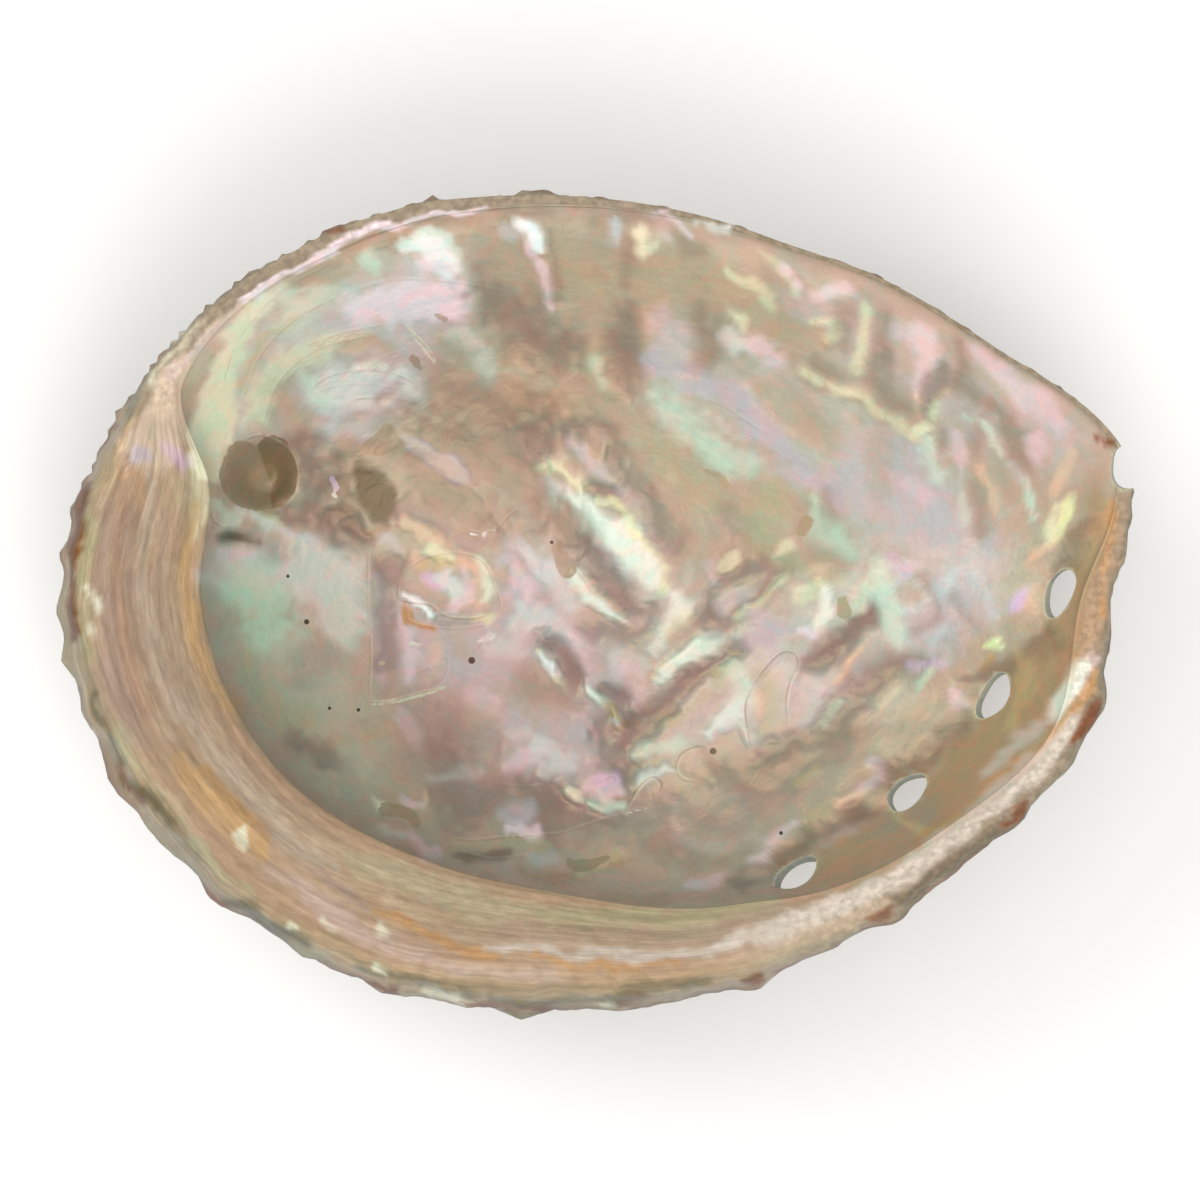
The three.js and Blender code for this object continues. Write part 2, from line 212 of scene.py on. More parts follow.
    ("SILVER", 0.6, 0.7, ((17.3, 27.4, 0.7), (18.8, 26, 0.7))),
    ("PINK", 0.8, 0.9, ((20.8, 26.4, 0.9), (22, 24.4, 1))),
    ("LILAC", 0.85, 1.1, ((14.5, 22.6, 1.2), (18.5, 20.5, 1.6), (21.5, 16.8, 1.4), (25, 13.8, 1.2),
        (28.3, 11, 0.8))),
    ("BROWN", 0.25, 0.3, ((15.5, 25.2, 0.1), (18, 24, 0.12), (21, 21.5, 0.1))),
    ("STRAW", 0.8, 0.5, ((24.8, 23.8, 0.5), (27, 22.8, 0.5), (29.6, 21.7, 0.7), (31.5, 20.9, 0.5),
        (33.5, 19.2, 0.4), (35.6, 17.7, 0.35))),
    ("TAN", 0.7, 1.2, ((21.5, 21.5, 1), (25, 19, 1.8), (27.8, 16.5, 1.4))),
    # The pale diagonal field, the sandy one under it and the folds of the middle.
    ("MINT", 0.65, 1.3, ((10, 21.8, 0.7), (11.2, 19.6, 1.2), (14, 17.6, 1.5), (17, 15, 1.3),
        (20, 13.3, 0.9))),
    ("JADE", 0.4, 0.9, ((13.5, 16.5, 0.6), (16.5, 14.3, 1))),
    ("MOSS", 0.6, 1.1, ((9, 17.8, 0.6), (12, 14.3, 1.4), (15.5, 10.6, 1.6))),
    ("SAND", 0.5, 1, ((11.5, 13.5, 1), (15, 11, 1.2), (12, 9.5, 1))),
    ("MOSS", 0.8, 1.3, ((20, 9.5, 1.5), (22.6, 10.5, 1.3), (21, 6.6, 1.5))),
    ("DUSK", 0.3, 0.9, ((17.5, 9, 0.9), (19.5, 5.8, 0.8))),
    ("STRAW", 0.7, 0.4, ((24, 6, 0.7), (23.1, 4.3, 0.6), (22.9, 2, 0.3))),
    ("JADE", 0.75, 0.8, ((26.2, 10.7, 0.3), (26.8, 8.4, 0.8), (28.5, 6.3, 1.1), (30, 4.5, 0.6))),
    ("BROWN", 0.6, 0.6, ((27.5, 10.3, 0.4), (28.2, 8.6, 0.4))),
    ("DUSK", 0.8, 1, ((-8, 16.5, 1), (-4.5, 16.4, 1.2), (-1, 18, 1), (4, 17.8, 0.7))),
    ("UMBER", 0.35, 0.8, ((-5.5, 15.6, 0.8), (-2, 17, 0.6))),
    ("CLAY", 0.4, 1, ((-4, 21.4, 1.2), (0, 20.8, 1.1), (3, 19.8, 0.8))),
    ("ROSE", 0.8, 0.5, ((0.8, 16.6, 0.3), (3.2, 14.2, 0.45), (5.6, 12, 0.4), (7.6, 9.8, 0.4))),
    ("DUSK", 0.65, 0.7, ((5.5, 14.3, 0.5), (7.5, 11.4, 0.7), (10, 8.4, 0.9), (12.2, 5.8, 0.8))),
    ("STRAW", 0.9, 0.4, ((-2.4, 13.9, 0.4), (-0.4, 14, 0.45), (1.2, 12.4, 0.6), (3, 10.7, 0.5),
        (4.6, 10.2, 0.5))),
    ("SILVER", 0.7, 0.5, ((-2, 12.5, 0.6), (0.2, 11.2, 0.5))),
    ("DUSK", 0.8, 0.4, ((3.7, 11.6, 0.4), (5, 11.3, 0.3))),
    ("PALE", 0.95, 0.6, ((1, 10.2, 0.5), (3.6, 8.6, 0.7), (6.3, 6.3, 1.5), (8, 4.6, 1.7), (9.7, 2.8, 1.4))),
    ("MINT", 0.5, 0.6, ((2.6, 8.2, 0.4), (4, 7.8, 0.5))),
    ("BLUSH", 0.5, 0.6, ((4, 5.6, 0.5), (7, 2.6, 0.6))),
    ("LIME", 0.6, 0.3, ((5.2, 10.5, 0.2), (7.2, 7.5, 0.2), (9.6, 5.4, 0.2), (11.2, 4, 0.25),
        (11.5, 2, 0.3), (10.6, 0.6, 0.2))),
    ("BROWN", 0.9, 0.7, ((-3, 9, 0.8), (0, 8.2, 1), (1.8, 6, 0.9))),
    ("DUSK", 0.9, 0.5, ((2.4, 6.2, 0.6), (4, 3.6, 0.8), (6, 1, 1), (7.3, -0.6, 0.8))),
    ("PALE", 0.9, 0.4, ((1.9, 2, 0.5), (3.2, 0.2, 0.6), (4.6, -1.3, 0.6), (6.4, -1.9, 0.4))),
    ("PEACH", 0.6, 0.35, ((2.7, 2, 0.2), (4.4, -0.2, 0.2), (6.2, -1.1, 0.25))),
    ("DUSK", 0.7, 0.6, ((2.4, -2.8, 0.5), (4.8, -3.6, 0.7), (8.5, -3, 0.8), (9.6, -0.8, 0.4))),
    ("LILAC", 0.8, 1, ((-6.2, 4.4, 1), (-4.2, 5.2, 1.2), (-2, 3, 1.1), (-4.6, 1, 1.3))),
    ("PINK", 0.7, 0.8, ((-4.8, 3.2, 0.8), (-3.8, 1.4, 0.8))),
    ("SILVER", 0.5, 0.8, ((-5.5, 6.2, 0.7), (-2.5, 4.6, 0.8), (0, 1.4, 0.5), (1, -0.5, 0.6))),
    ("SILVER", 0.55, 1, ((-4, -1, 1), (-1, -2.4, 1.1), (1.2, -4.4, 0.8))),
    ("PINK", 0.45, 0.8, ((0.5, -3.6, 0.9), (2, -5.6, 0.8))),
    ("PEARL", 0.8, 0.35, ((-2.1, -6.1, 0.4), (-1.5, -7, 0.6), (-0.4, -8, 0.45))),
    ("SKY", 0.5, 0.3, ((-2, -6.9, 0.3), (-1.4, -7.4, 0.3))),
    ("STRAW", 0.8, 0.25, ((-2.3, -5.5, 0.2), (-2.1, -6, 0.15))),
    ("STRAW", 0.7, 0.25, ((-0.6, -8.4, 0.2), (0.3, -8.4, 0.2))),
    ("UMBER", 0.75, 0.45, ((-2, -4.3, 0.4), (-0.6, -5, 0.5), (0.8, -6.6, 0.6), (1.6, -8, 0.4))),
    ("BROWN", 0.7, 0.8, ((-4, -8.2, 0.7), (-2, -9.6, 0.8), (1, -10, 0.8))),
    ("PALE", 0.85, 0.6, ((12.4, 0.6, 0.7), (12.6, -1.6, 1.1), (11.4, -4, 1), (10.4, -5, 0.5))),
    ("STRAW", 0.6, 0.5, ((13.2, -1.2, 0.4), (12, -3.4, 0.6))),
    ("BROWN", 0.7, 0.5, ((15.2, -1, 0.4), (13.6, -3.2, 0.5), (11.6, -5.4, 0.4))),
    ("PALE", 0.9, 0.5, ((16.2, -4, 0.7), (14, -5.6, 0.9), (11.8, -7.6, 0.9), (10.6, -9, 0.6))),
    ("MINT", 0.5, 0.4, ((16.4, -3.9, 0.4), (15, -4.6, 0.5))),
    ("BLUSH", 0.35, 0.8, ((6.6, -7.2, 1), (8.6, -9, 0.8), (6.8, -11.4, 0.6))),
    ("MIST", 0.5, 0.8, ((5.6, -5.6, 0.7), (8.6, -6.4, 0.9))),
    ("DUSK", 0.95, 0.5, ((18.2, -5.9, 0.5), (14.6, -8.2, 0.95), (11, -10.9, 0.9), (8, -13.4, 0.9),
        (6.8, -14.6, 0.4))),
    ("DUSK", 0.75, 0.5, ((21, 3.2, 0.3), (17.4, 2, 0.4), (15.4, -0.6, 0.6), (17, -2.6, 0.6),
        (20, -0.5, 0.4), (23.6, 3.6, 0.3))),
    ("ROSE", 0.6, 0.6, ((15.6, 3.4, 0.6), (16.4, 1.6, 0.4))),
    ("ROSE", 0.6, 0.6, ((17, -0.6, 0.6), (19.6, 0.9, 0.6))),
    ("STRAW", 0.6, 0.35, ((17.3, 3, 0.3), (18.6, 4.3, 0.4))),
    ("STRAW", 0.5, 0.35, ((18.4, -2.4, 0.3), (20, -1, 0.3), (22.6, 1.6, 0.25))),
    ("LILAC", 0.8, 1, ((21, -2, 1), (23, -3.6, 1), (20, -4.6, 0.7))),
    ("MOSS", 0.8, 1.1, ((25, 4, 1.2), (28, 3, 1.2), (26.5, 1.6, 0.8))),
    ("DUSK", 0.35, 0.8, ((26.5, 4.6, 0.8), (29, 3, 0.7))),
    ("STRAW", 0.6, 0.5, ((24.8, 0.4, 0.5), (26.5, 1, 0.6))),
    ("PALE", 0.95, 0.4, ((27.7, 0.6, 0.4), (27.6, -1.2, 0.8), (26.9, -2.9, 0.7))),
    ("BLUSH", 0.9, 0.3, ((25.5, -3.2, 0.3), (26.3, -4.3, 0.4))),
    ("DUSK", 0.95, 0.5, ((32, -2, 0.6), (30, -3.9, 0.9), (28, -6, 0.9), (26.6, -7, 0.4))),
    ("PEACH", 0.9, 0.35, ((32.2, -4.9, 0.3), (30.4, -6.6, 0.4), (28.9, -8.7, 0.35))),
    ("DUSK", 0.85, 0.6, ((37.5, -6, 0.6), (34, -7.4, 0.9), (30.6, -9.6, 0.8), (28, -12.6, 0.5))),
    ("MIST", 0.7, 0.6, ((20.3, -14.6, 0.4), (17.6, -12.4, 0.9), (16, -13.6, 0.8))),
    ("SILVER", 0.8, 0.6, ((18.6, -10.9, 0.6), (17.2, -12.4, 0.8), (15.6, -14, 0.5))),
    ("MOSS", 0.55, 0.6, ((11, -12.8, 0.5), (14, -10.8, 0.6), (17, -8.2, 0.7))),
    ("MINT", 0.6, 0.6, ((18, -7, 0.5), (19.3, -8.6, 0.5), (19.6, -10.4, 0.4))),
    ("BLUSH", 0.3, 0.5, ((12.6, -10.9, 0.4), (15.4, -9, 0.5))),
    ("PALE", 0.9, 0.35, ((3.1, -9, 0.4), (4.3, -10.4, 0.45), (5, -11.2, 0.3))),
    ("GOLD", 0.8, 0.3, ((5.1, -11.4, 0.45), (6.2, -13, 0.5))),
    # Painted glint: a small white fleck on the gold chip.
    ("PEARL", 0.8, 0.2, ((5.5, -12.5, 0.12), (5.9, -12.9, 0.15))),
    ("UMBER", 0.7, 0.5, ((5, -9.2, 0.3), (6.2, -10.6, 0.5), (7.2, -12, 0.4))),
    ("DUSK", 0.85, 0.7, ((4, -13, 0.5), (5.6, -15.4, 0.9), (6.8, -17.8, 0.8))),
    ("DUSK", 0.8, 0.8, ((-3, -19.4, 0.7), (-1.8, -21, 1.1), (-1.6, -22.8, 0.7))),
    ("DUSK", 0.6, 0.6, ((0, -21.4, 0.6), (3, -22.6, 0.4), (5.5, -22.8, 0.3))),
    ("PINK", 0.85, 0.5, ((3, -19.4, 0.9), (4.6, -19.8, 0.9), (5.9, -20.1, 0.5))),
    ("VIOLET", 0.5, 0.5, ((4, -19, 0.6), (5.4, -18.9, 0.4))),
    ("MINT", 0.7, 0.35, ((3.2, -21.4, 0.3), (4.6, -21.6, 0.3), (6.4, -21.4, 0.3))),
    ("CREAM", 0.8, 0.25, ((0.6, -19.9, 0.2), (1.3, -20.3, 0.3), (2.2, -20.9, 0.2))),
    ("SILVER", 0.75, 0.5, ((8.2, -19, 0.3), (10, -18.1, 0.4), (11.8, -17.6, 0.4))),
    ("MINT", 0.6, 0.5, ((8.2, -16.4, 0.4), (10, -15.4, 0.5), (12.4, -15, 0.5))),
    ("PINK", 0.75, 0.5, ((-6, -17.4, 0.5), (-3, -16.5, 0.6), (-1.6, -15.9, 0.4))),
    ("SILVER", 0.5, 0.5, ((-1.6, -17.6, 0.5), (0.6, -16.4, 0.8), (-2.6, -15.4, 0.4))),
    ("MIST", 0.5, 0.5, ((-5.8, -14.8, 0.3), (-3, -14.2, 0.4))),
    ("LILAC", 0.7, 0.8, ((-6, -23, 0.7), (-4, -22.3, 0.9))),
    ("BLUSH", 0.8, 0.4, ((-5.6, -24, 0.3), (-2.8, -24.2, 0.5))),
    ("PINK", 0.5, 0.8, ((-9.4, -10.8, 0.9), (-7.6, -11.2, 0.8))),
    ("MOSS", 0.45, 0.8, ((-9.4, -12.8, 0.6), (-7.4, -12.4, 0.6))),
    ("BROWN", 0.45, 0.8, ((-11, -13, 1), (-8, -14.6, 0.8))),
    ("PLUM", 0.6, 1, ((-12.4, -15.6, 0.9), (-10, -21.6, 1.6), (-7, -19.6, 0.9))),
    ("MIST", 0.35, 0.7, ((-13.6, -18.4, 0.5), (-9, -18.3, 0.5))),
    # Between the apex and the middle.
    ("BROWN", 0.9, 1.2, ((-16, 20, 1), (-12, 17, 1.8), (-7, 13.6, 1.8), (-3, 11.4, 1))),
    ("BROWN", 0.85, 1.3, ((-16, 14.5, 0.7), (-12.8, 11.2, 1.3), (-9, 9.2, 1.4), (-6.2, 8.6, 0.8))),
    ("LILAC", 0.85, 0.5, ((-16.7, 17.2, 0.3), (-14.4, 15.6, 0.7), (-12, 13.9, 0.9), (-9.8, 12.7, 0.6))),
    ("DUSK", 0.9, 0.8, ((-26.6, 16, 0.8), (-25, 12.4, 1.2), (-25, 9, 1.2), (-22.4, 7.6, 0.9))),
    ("UMBER", 0.6, 0.7, ((-22.6, 14.6, 0.5), (-22.8, 10, 0.6), (-21, 7.2, 0.6))),
    ("MAUVE", 0.8, 0.9, ((-17.5, 9.4, 0.8), (-15, 8.6, 0.8), (-12, 7.6, 0.8))),
    # The scar of the muscle and its surroundings.
    ("MAUVE", 0.5, 1, ((-19, 4, 0.9), (-18.7, -1, 1), (-18.6, -6, 1), (-18.6, -9, 0.8))),
    ("LILAC", 0.6, 0.7, ((-19.4, 2, 0.3), (-19.4, -3.6, 0.4), (-19.2, -8.4, 0.4))),
    ("PLUM", 0.7, 0.5, ((-17.8, 3.6, 0.7), (-17.6, 1.6, 0.5))),
    ("PLUM", 0.6, 0.4, ((-19, -0.8, 0.5), (-18.2, -5.4, 0.6), (-18.8, -7, 0.4))),
    ("PINK", 0.75, 0.6, ((-16.8, -2.2, 0.4), (-16, -4, 0.5), (-16, -6.6, 0.7), (-16.6, -8.4, 0.4))),
    ("PEACH", 0.55, 0.6, ((-13.8, -4, 0.5), (-13.8, -5.8, 0.5))),
    ("TAN", 0.6, 0.8, ((-11.6, -3.8, 0.6), (-10.4, -5.6, 0.8))),
    ("MIST", 0.55, 0.8, ((-8, -5, 0.5), (-4.4, -4.6, 0.7), (-4.8, -3, 0.7))),
    ("ROSE", 0.5, 0.8, ((-16.6, -12.4, 1), (-15.4, -14.6, 0.9))),
    ("PEACH", 0.9, 0.6, ((-16.2, 7.9, 0.5), (-14.6, 7, 1), (-13.2, 6, 0.8))),
    ("ROSE", 0.8, 0.5, ((-18.6, 6.4, 0.6), (-17.4, 5, 0.5))),
    ("CLAY", 0.8, 0.25, ((-20.6, 7.6, 0.15), (-19.4, 7.7, 0.25), (-17.6, 7.5, 0.2))),
    ("PEACH", 0.7, 0.6, ((-15.7, 4.4, 0.7), (-14.4, 5, 0.6), (-11, 4.4, 0.7), (-9, 2.4, 0.7),
        (-8.6, 0, 0.6))),
    ("STRAW", 0.85, 0.4, ((-14.6, 4.6, 0.4), (-13.4, 4.9, 0.6), (-11.6, 4.7, 0.4))),
    ("GOLD", 0.6, 0.3, ((-15, 3.6, 0.3), (-13.6, 3.4, 0.35), (-12.2, 3.6, 0.25))),
    ("CREAM", 0.8, 0.4, ((-8.6, 4, 0.5), (-7.8, 2, 0.5), (-8, 0, 0.3))),
    ("VIOLET", 0.7, 0.5, ((-14, 2, 0.6), (-12.4, 1.4, 0.5))),
    ("SILVER", 0.85, 0.5, ((-12.6, 2.4, 0.8), (-11.2, 1, 1))),
    ("PINK", 0.7, 0.5, ((-10.4, 2.6, 0.5), (-10, 0.4, 0.5), (-11.4, -0.6, 0.5))),
    ("PEARL", 0.9, 0.25, ((-16.8, 0.2, 0.2), (-15.4, -0.4, 0.4), (-14.2, -1.4, 0.3))),
    ("GREY", 0.7, 0.35, ((-13.6, -1.8, 0.3), (-11.4, -2.2, 0.4), (-9.6, -2.1, 0.3))),
    ("LIME", 0.5, 0.35, ((-9, -2, 0.3), (-7.6, -1.7, 0.5))),
    ("AMBER", 0.95, 0.2, ((-17, -0.9, 0.15), (-16.5, -1.9, 0.45), (-15.6, -2.9, 0.3), (-14, -3, 0.15))),
    ("SILVER", 0.6, 0.3, ((-9, -4.4, 0.15), (-7.4, -3.7, 0.25))),
    # Round the apex.
    ("DUSK", 0.75, 0.7, ((-28.5, 9, 0.9), (-26.4, 8.6, 0.9), (-25.2, 10.2, 0.7), (-26, 12.8, 0.6))),
    ("UMBER", 0.45, 0.5, ((-24.6, 8.6, 0.5), (-23.4, 6.4, 0.4))),
    ("MIST", 0.8, 0.5, ((-33.6, 9.2, 0.4), (-31.4, 8.3, 0.6), (-29.6, 7.2, 0.5), (-27.4, 6.2, 0.4))),
    ("SKY", 0.5, 0.4, ((-28.8, 6.8, 0.5), (-26, 5.8, 0.5))),
    ("STRAW", 0.4, 0.3, ((-30.8, 8.7, 0.2), (-29.6, 8, 0.3))),
    ("MINT", 0.7, 0.5, ((-36, 9.6, 0.3), (-35.3, 8.2, 0.5), (-34.4, 7.6, 0.3))),
    ("SLATE", 0.9, 0.5, ((-34.9, 6.1, 0.4), (-33.6, 6.3, 0.5), (-31.8, 5.6, 0.3))),
    ("PLUM", 0.5, 0.6, ((-32, 6, 0.4), (-29, 5.2, 0.3))),
    ("PINK", 0.9, 0.35, ((-35.4, 4.9, 0.25), (-34, 4.7, 0.4), (-32.2, 4.6, 0.25))),
    ("LILAC", 0.6, 0.8, ((-36.4, 2.8, 0.5), (-35, 2, 0.9))),
    ("JADE", 0.85, 2, ((-34, 1.5, 1.4), (-31.4, -0.6, 2.6), (-30.6, -2.8, 2))),
    ("MIST", 0.5, 0.7, ((-28.8, 1.6, 0.5), (-27, 1.4, 0.9), (-27, -1, 0.8))),
    ("JADE", 0.35, 0.7, ((-23.4, -0.4, 0.8), (-22.4, -3.6, 0.9))),
    ("GREY", 0.5, 0.9, ((-27, -6.4, 1.2), (-24, -5.6, 0.9), (-27.4, -9, 0.9))),
    ("MOSS", 0.5, 0.9, ((-33.4, -6.4, 0.7), (-30, -12, 1.2), (-27, -12.6, 1.2))),
    ("PLUM", 0.7, 0.5, ((-28.2, -14.8, 0.5), (-26, -15.6, 0.6), (-24.4, -16.4, 0.3))),
    ("GREY", 0.4, 0.8, ((-23, -17, 0.8), (-22, -19.4, 0.6))),
    ("SAND", 0.7, 0.4, ((-20.2, -13.8, 0.5), (-18.2, -13.6, 0.5))),
    ("SAND", 0.45, 0.4, ((-24, -14.2, 0.3), (-21.8, -14.4, 0.4))),
    ("CREAM", 0.8, 0.3, ((-19.8, -20.8, 0.2), (-18.7, -21.4, 0.35))),
    ("PINK", 0.7, 0.4, ((-16.6, -20.8, 0.3), (-14.4, -21.6, 0.5))),
    ("PEACH", 0.6, 0.3, ((-14, -20, 0.2), (-14, -21.4, 0.3))),
    ("PINK", 0.75, 0.4, ((-15.8, -24.6, 0.3), (-13.8, -25.7, 0.4), (-12.6, -26.2, 0.2))),
    ("MIST", 0.6, 0.4, ((-18.6, -23.6, 0.3), (-16.8, -24.4, 0.4))),
    ("STRAW", 0.5, 0.6, ((-37, 15, 0.8), (-37.2, 9, 0.7), (-37.4, 6.4, 0.4))),
    ("VIOLET", 0.55, 0.7, ((-39.3, 15.2, 0.6), (-38.4, 13.9, 0.6))),
    ("LILAC", 0.9, 0.25, ((-43.5, 13.9, 0.35), (-42.5, 14.9, 0.7), (-41.8, 14, 0.4))),
    ("PEACH", 0.8, 0.2, ((-44.4, 16.6, 0.2), (-44.5, 14.6, 0.25), (-44.3, 12.6, 0.12))),
    # Towards the front end.
    ("STRAW", 0.75, 0.4, ((31, 29.6, 0.35), (30.7, 26.6, 0.45), (30.6, 23.4, 0.5))),
    ("BROWN", 0.7, 0.5, ((29, 29, 0.4), (28.8, 26.4, 0.4))),
    ("BROWN", 0.75, 0.6, ((32.9, 28.6, 0.4), (32.8, 25, 0.5), (32, 22.8, 0.6), (34, 20.6, 0.6),
        (35.8, 18.8, 0.3))),
    ("BROWN", 0.7, 0.5, ((26.4, 24.2, 0.4), (28.6, 23.2, 0.5))),
    ("PINK", 0.75, 0.7, ((34.6, 27.6, 0.8), (37.4, 26.4, 1.1), (37.2, 23.2, 0.9), (36.4, 20.4, 0.5))),
    ("MOSS", 0.4, 0.5, ((34.6, 26.4, 0.5), (35.4, 23.6, 0.6))),
    ("PEACH", 0.7, 0.35, ((36.4, 20.4, 0.35), (36.3, 19, 0.25))),
    ("STRAW", 0.9, 0.35, ((36.4, 17.4, 0.3), (37.8, 18.3, 0.4), (38.6, 20, 0.4), (39.5, 21.6, 0.25))),
    ("DUSK", 0.75, 0.4, ((38.9, 23.4, 0.5), (38, 21.4, 0.4), (37.2, 19.4, 0.3))),
    ("BROWN", 0.85, 0.5, ((41, 26.2, 0.4), (40.9, 23, 0.5), (42.6, 20.8, 0.5), (45.4, 18.8, 0.6),
        (46.4, 16, 0.6), (48, 13.8, 0.3))),
    ("PINK", 0.7, 0.7, ((42.6, 26, 0.5), (45, 23.4, 0.8), (48.4, 20.4, 0.9), (50.6, 17.6, 0.7))),
    ("SAND", 0.5, 0.5, ((43, 23.2, 0.4), (45.6, 21, 0.5))),
    ("PEACH", 0.9, 0.4, ((52.4, 15, 0.4), (51.6, 13, 0.5), (51, 11.4, 0.3))),
    ("PINK", 0.7, 0.5, ((48.4, 16.4, 0.5), (48.7, 14.2, 0.5))),
    ("MINT", 0.75, 0.35, ((41.6, 19, 0.2), (43.4, 17.4, 0.35), (44.8, 15.4, 0.4))),
    ("MAUVE", 0.65, 0.5, ((39.3, 17.2, 0.4), (39.2, 15.6, 0.5))),
    ("MAUVE", 0.5, 0.5, ((42.2, 16.6, 0.4), (42.4, 15, 0.4))),
    ("PINK", 0.7, 0.4, ((40.5, 17, 0.35), (40.9, 15, 0.35), (41.4, 13.4, 0.3))),
    ("PEACH", 0.9, 0.35, ((43.4, 13.6, 0.3), (44.3, 12, 0.4), (44.7, 9.6, 0.35))),
    ("BROWN", 0.7, 0.4, ((42.9, 11.6, 0.25), (43.3, 9.4, 0.35), (43.6, 7.8, 0.3))),
    ("MINT", 0.7, 0.5, ((37.9, 16.2, 0.3), (38.2, 14.4, 0.4), (39.2, 12.8, 0.5))),
    ("MINT", 0.75, 0.35, ((47.5, 12, 0.2), (48.2, 10.4, 0.4), (48.5, 9, 0.25))),
    ("SKY", 0.4, 0.5, ((45.6, 14, 0.3), (47, 12.6, 0.3))),
    ("PINK", 0.5, 0.6, ((36.4, 12, 0.5), (38, 10.6, 0.5))),
    ("MINT", 0.5, 0.5, ((41.6, 11.4, 0.3), (42.2, 8.6, 0.5))),
    ("TAN", 0.5, 0.9, ((32.5, 16.5, 1), (33.5, 11.4, 0.9))),
    ("LILAC", 0.6, 0.4, ((28.6, 11, 0.2), (29.4, 9.2, 0.25))),
    # Painted glints: bright yellow-green and straw flecks beside the first hole.
    ("LIME", 0.95, 0.3, ((52, 10.2, 0.3), (51.3, 8, 0.5), (50.6, 6.4, 0.2))),
    ("STRAW", 0.9, 0.3, ((51, 9.6, 0.3), (50.2, 7.6, 0.4), (49.9, 6, 0.3))),
    ("PEACH", 0.95, 0.35, ((50.3, 5.6, 0.35), (49, 4.8, 0.4), (47.8, 3.8, 0.35))),
    ("VIOLET", 0.9, 0.35, ((47.2, 1, 0.55), (47, -0.4, 0.55))),
    ("PEACH", 0.7, 0.25, ((48.4, 1, 0.3), (48.3, -0.8, 0.3))),
    ("MOSS", 0.5, 0.4, ((46.4, -1.6, 0.4), (47.6, -2.4, 0.4))),
    # Painted glint: a bright yellow fleck beside the second hole.
    ("LIME", 0.95, 0.25, ((44.2, -4.3, 0.5), (45.3, -4.3, 0.5))),
    ("GOLD", 0.8, 0.25, ((44.5, -5.6, 0.25), (43.8, -6.4, 0.3))),
    ("PEACH", 0.8, 0.3, ((43, -6.7, 0.3), (41.4, -7.4, 0.3))),
    ("SKY", 0.6, 0.3, ((41, 3.2, 0.25), (42.8, 1.8, 0.3), (44.4, 0, 0.3), (45, -1.6, 0.25))),
    ("SKY", 0.65, 0.35, ((40, 2.2, 0.3), (38.4, 0.4, 0.4), (36.6, -1.2, 0.4))),
    ("JADE", 0.9, 0.35, ((32.3, 1.6, 0.25), (31.2, 0, 0.4), (30.9, -1.2, 0.25))),
    ("MINT", 0.8, 0.7, ((33.6, 4, 0.5), (33.4, 1.4, 0.8), (34.4, -1.8, 1), (35.4, -3.8, 0.6))),
    ("VIOLET", 0.45, 0.5, ((34.4, 4.4, 0.5), (35.8, 2.6, 0.6))),
    ("MAUVE", 0.5, 0.35, ((37.4, 2.4, 0.25), (39, -1.2, 0.3), (37, -3.2, 0.3))),
    ("MAUVE", 0.5, 0.4, ((40.6, 0.4, 0.25), (42, -1.4, 0.3), (43.6, -3.4, 0.3))),
    ("VIOLET", 0.5, 0.5, ((36.4, -6.8, 0.6), (37.8, -6.4, 0.5), (39.4, -6.8, 0.4))),
    ("JADE", 0.7, 0.35, ((38.6, -7.6, 0.3), (37.2, -8.8, 0.4))),
    ("SKY", 0.5, 0.5, ((39.4, -3, 0.4), (38.4, -5, 0.5))),
    ("STRAW", 0.4, 0.4, ((34.6, -8.6, 0.3), (32.8, -10.4, 0.4))),
    ("PINK", 0.8, 0.35, ((40.6, -9.4, 0.4), (40.4, -10.6, 0.4), (41.8, -10.6, 0.3))),
    # The lower right, where the bowl bends up to the row of holes.
    ("LILAC", 0.5, 0.8, ((24.4, -9, 0.7), (26.6, -9.4, 0.7), (24.6, -12.6, 0.9))),
    ("PINK", 0.5, 0.5, ((26.2, -8.8, 0.4), (27.2, -9.6, 0.4))),
    ("MINT", 0.5, 0.4, ((29, -11, 0.2), (27.4, -12.8, 0.35), (25.4, -14, 0.25))),
    ("MOSS", 0.6, 0.5, ((21, -7.6, 0.4), (22, -8.6, 0.5), (21.4, -12.6, 0.5), (20.8, -14, 0.4))),
    ("PEACH", 0.5, 0.35, ((20.9, -10, 0.3), (20.6, -12, 0.3))),
    ("DUSK", 0.8, 0.6, ((22, -16.6, 0.5), (25, -15, 0.7), (28.4, -13.6, 0.6))),
    ("BROWN", 0.7, 0.8, ((16.4, -17.6, 0.9), (20, -19, 0.8), (24.6, -17.4, 0.7), (30, -13.4, 0.6))),
    ("GREY", 0.6, 0.9, ((17.4, -20.6, 1), (18.6, -23.4, 0.9))),
    ("MAUVE", 0.7, 0.8, ((12, -19.8, 0.6), (11, -22.6, 0.9), (13, -25.6, 0.6))),
    ("ROSE", 0.3, 0.6, ((11.6, -21, 0.4), (12.4, -24, 0.5), (16, -26, 0.6), (20.4, -25.4, 0.5))),
    ("BROWN", 0.6, 0.6, ((10, -25, 0.5), (14, -27.6, 0.5), (19, -26.6, 0.5))),
    ("GOLD", 0.4, 0.35, ((25, -19.4, 0.3), (27, -18, 0.35))),
    ("PINK", 0.75, 0.4, ((21.6, -25.2, 0.3), (22.8, -24.4, 0.4), (24.2, -23.6, 0.3))),
    ("MOSS", 0.7, 0.35, ((25.6, -23.6, 0.3), (26.4, -22.6, 0.3), (28.4, -21.4, 0.25))),
    ("PEACH", 0.85, 0.35, ((28.8, -20.6, 0.3), (30.6, -20.2, 0.4), (33.2, -20.4, 0.3))),
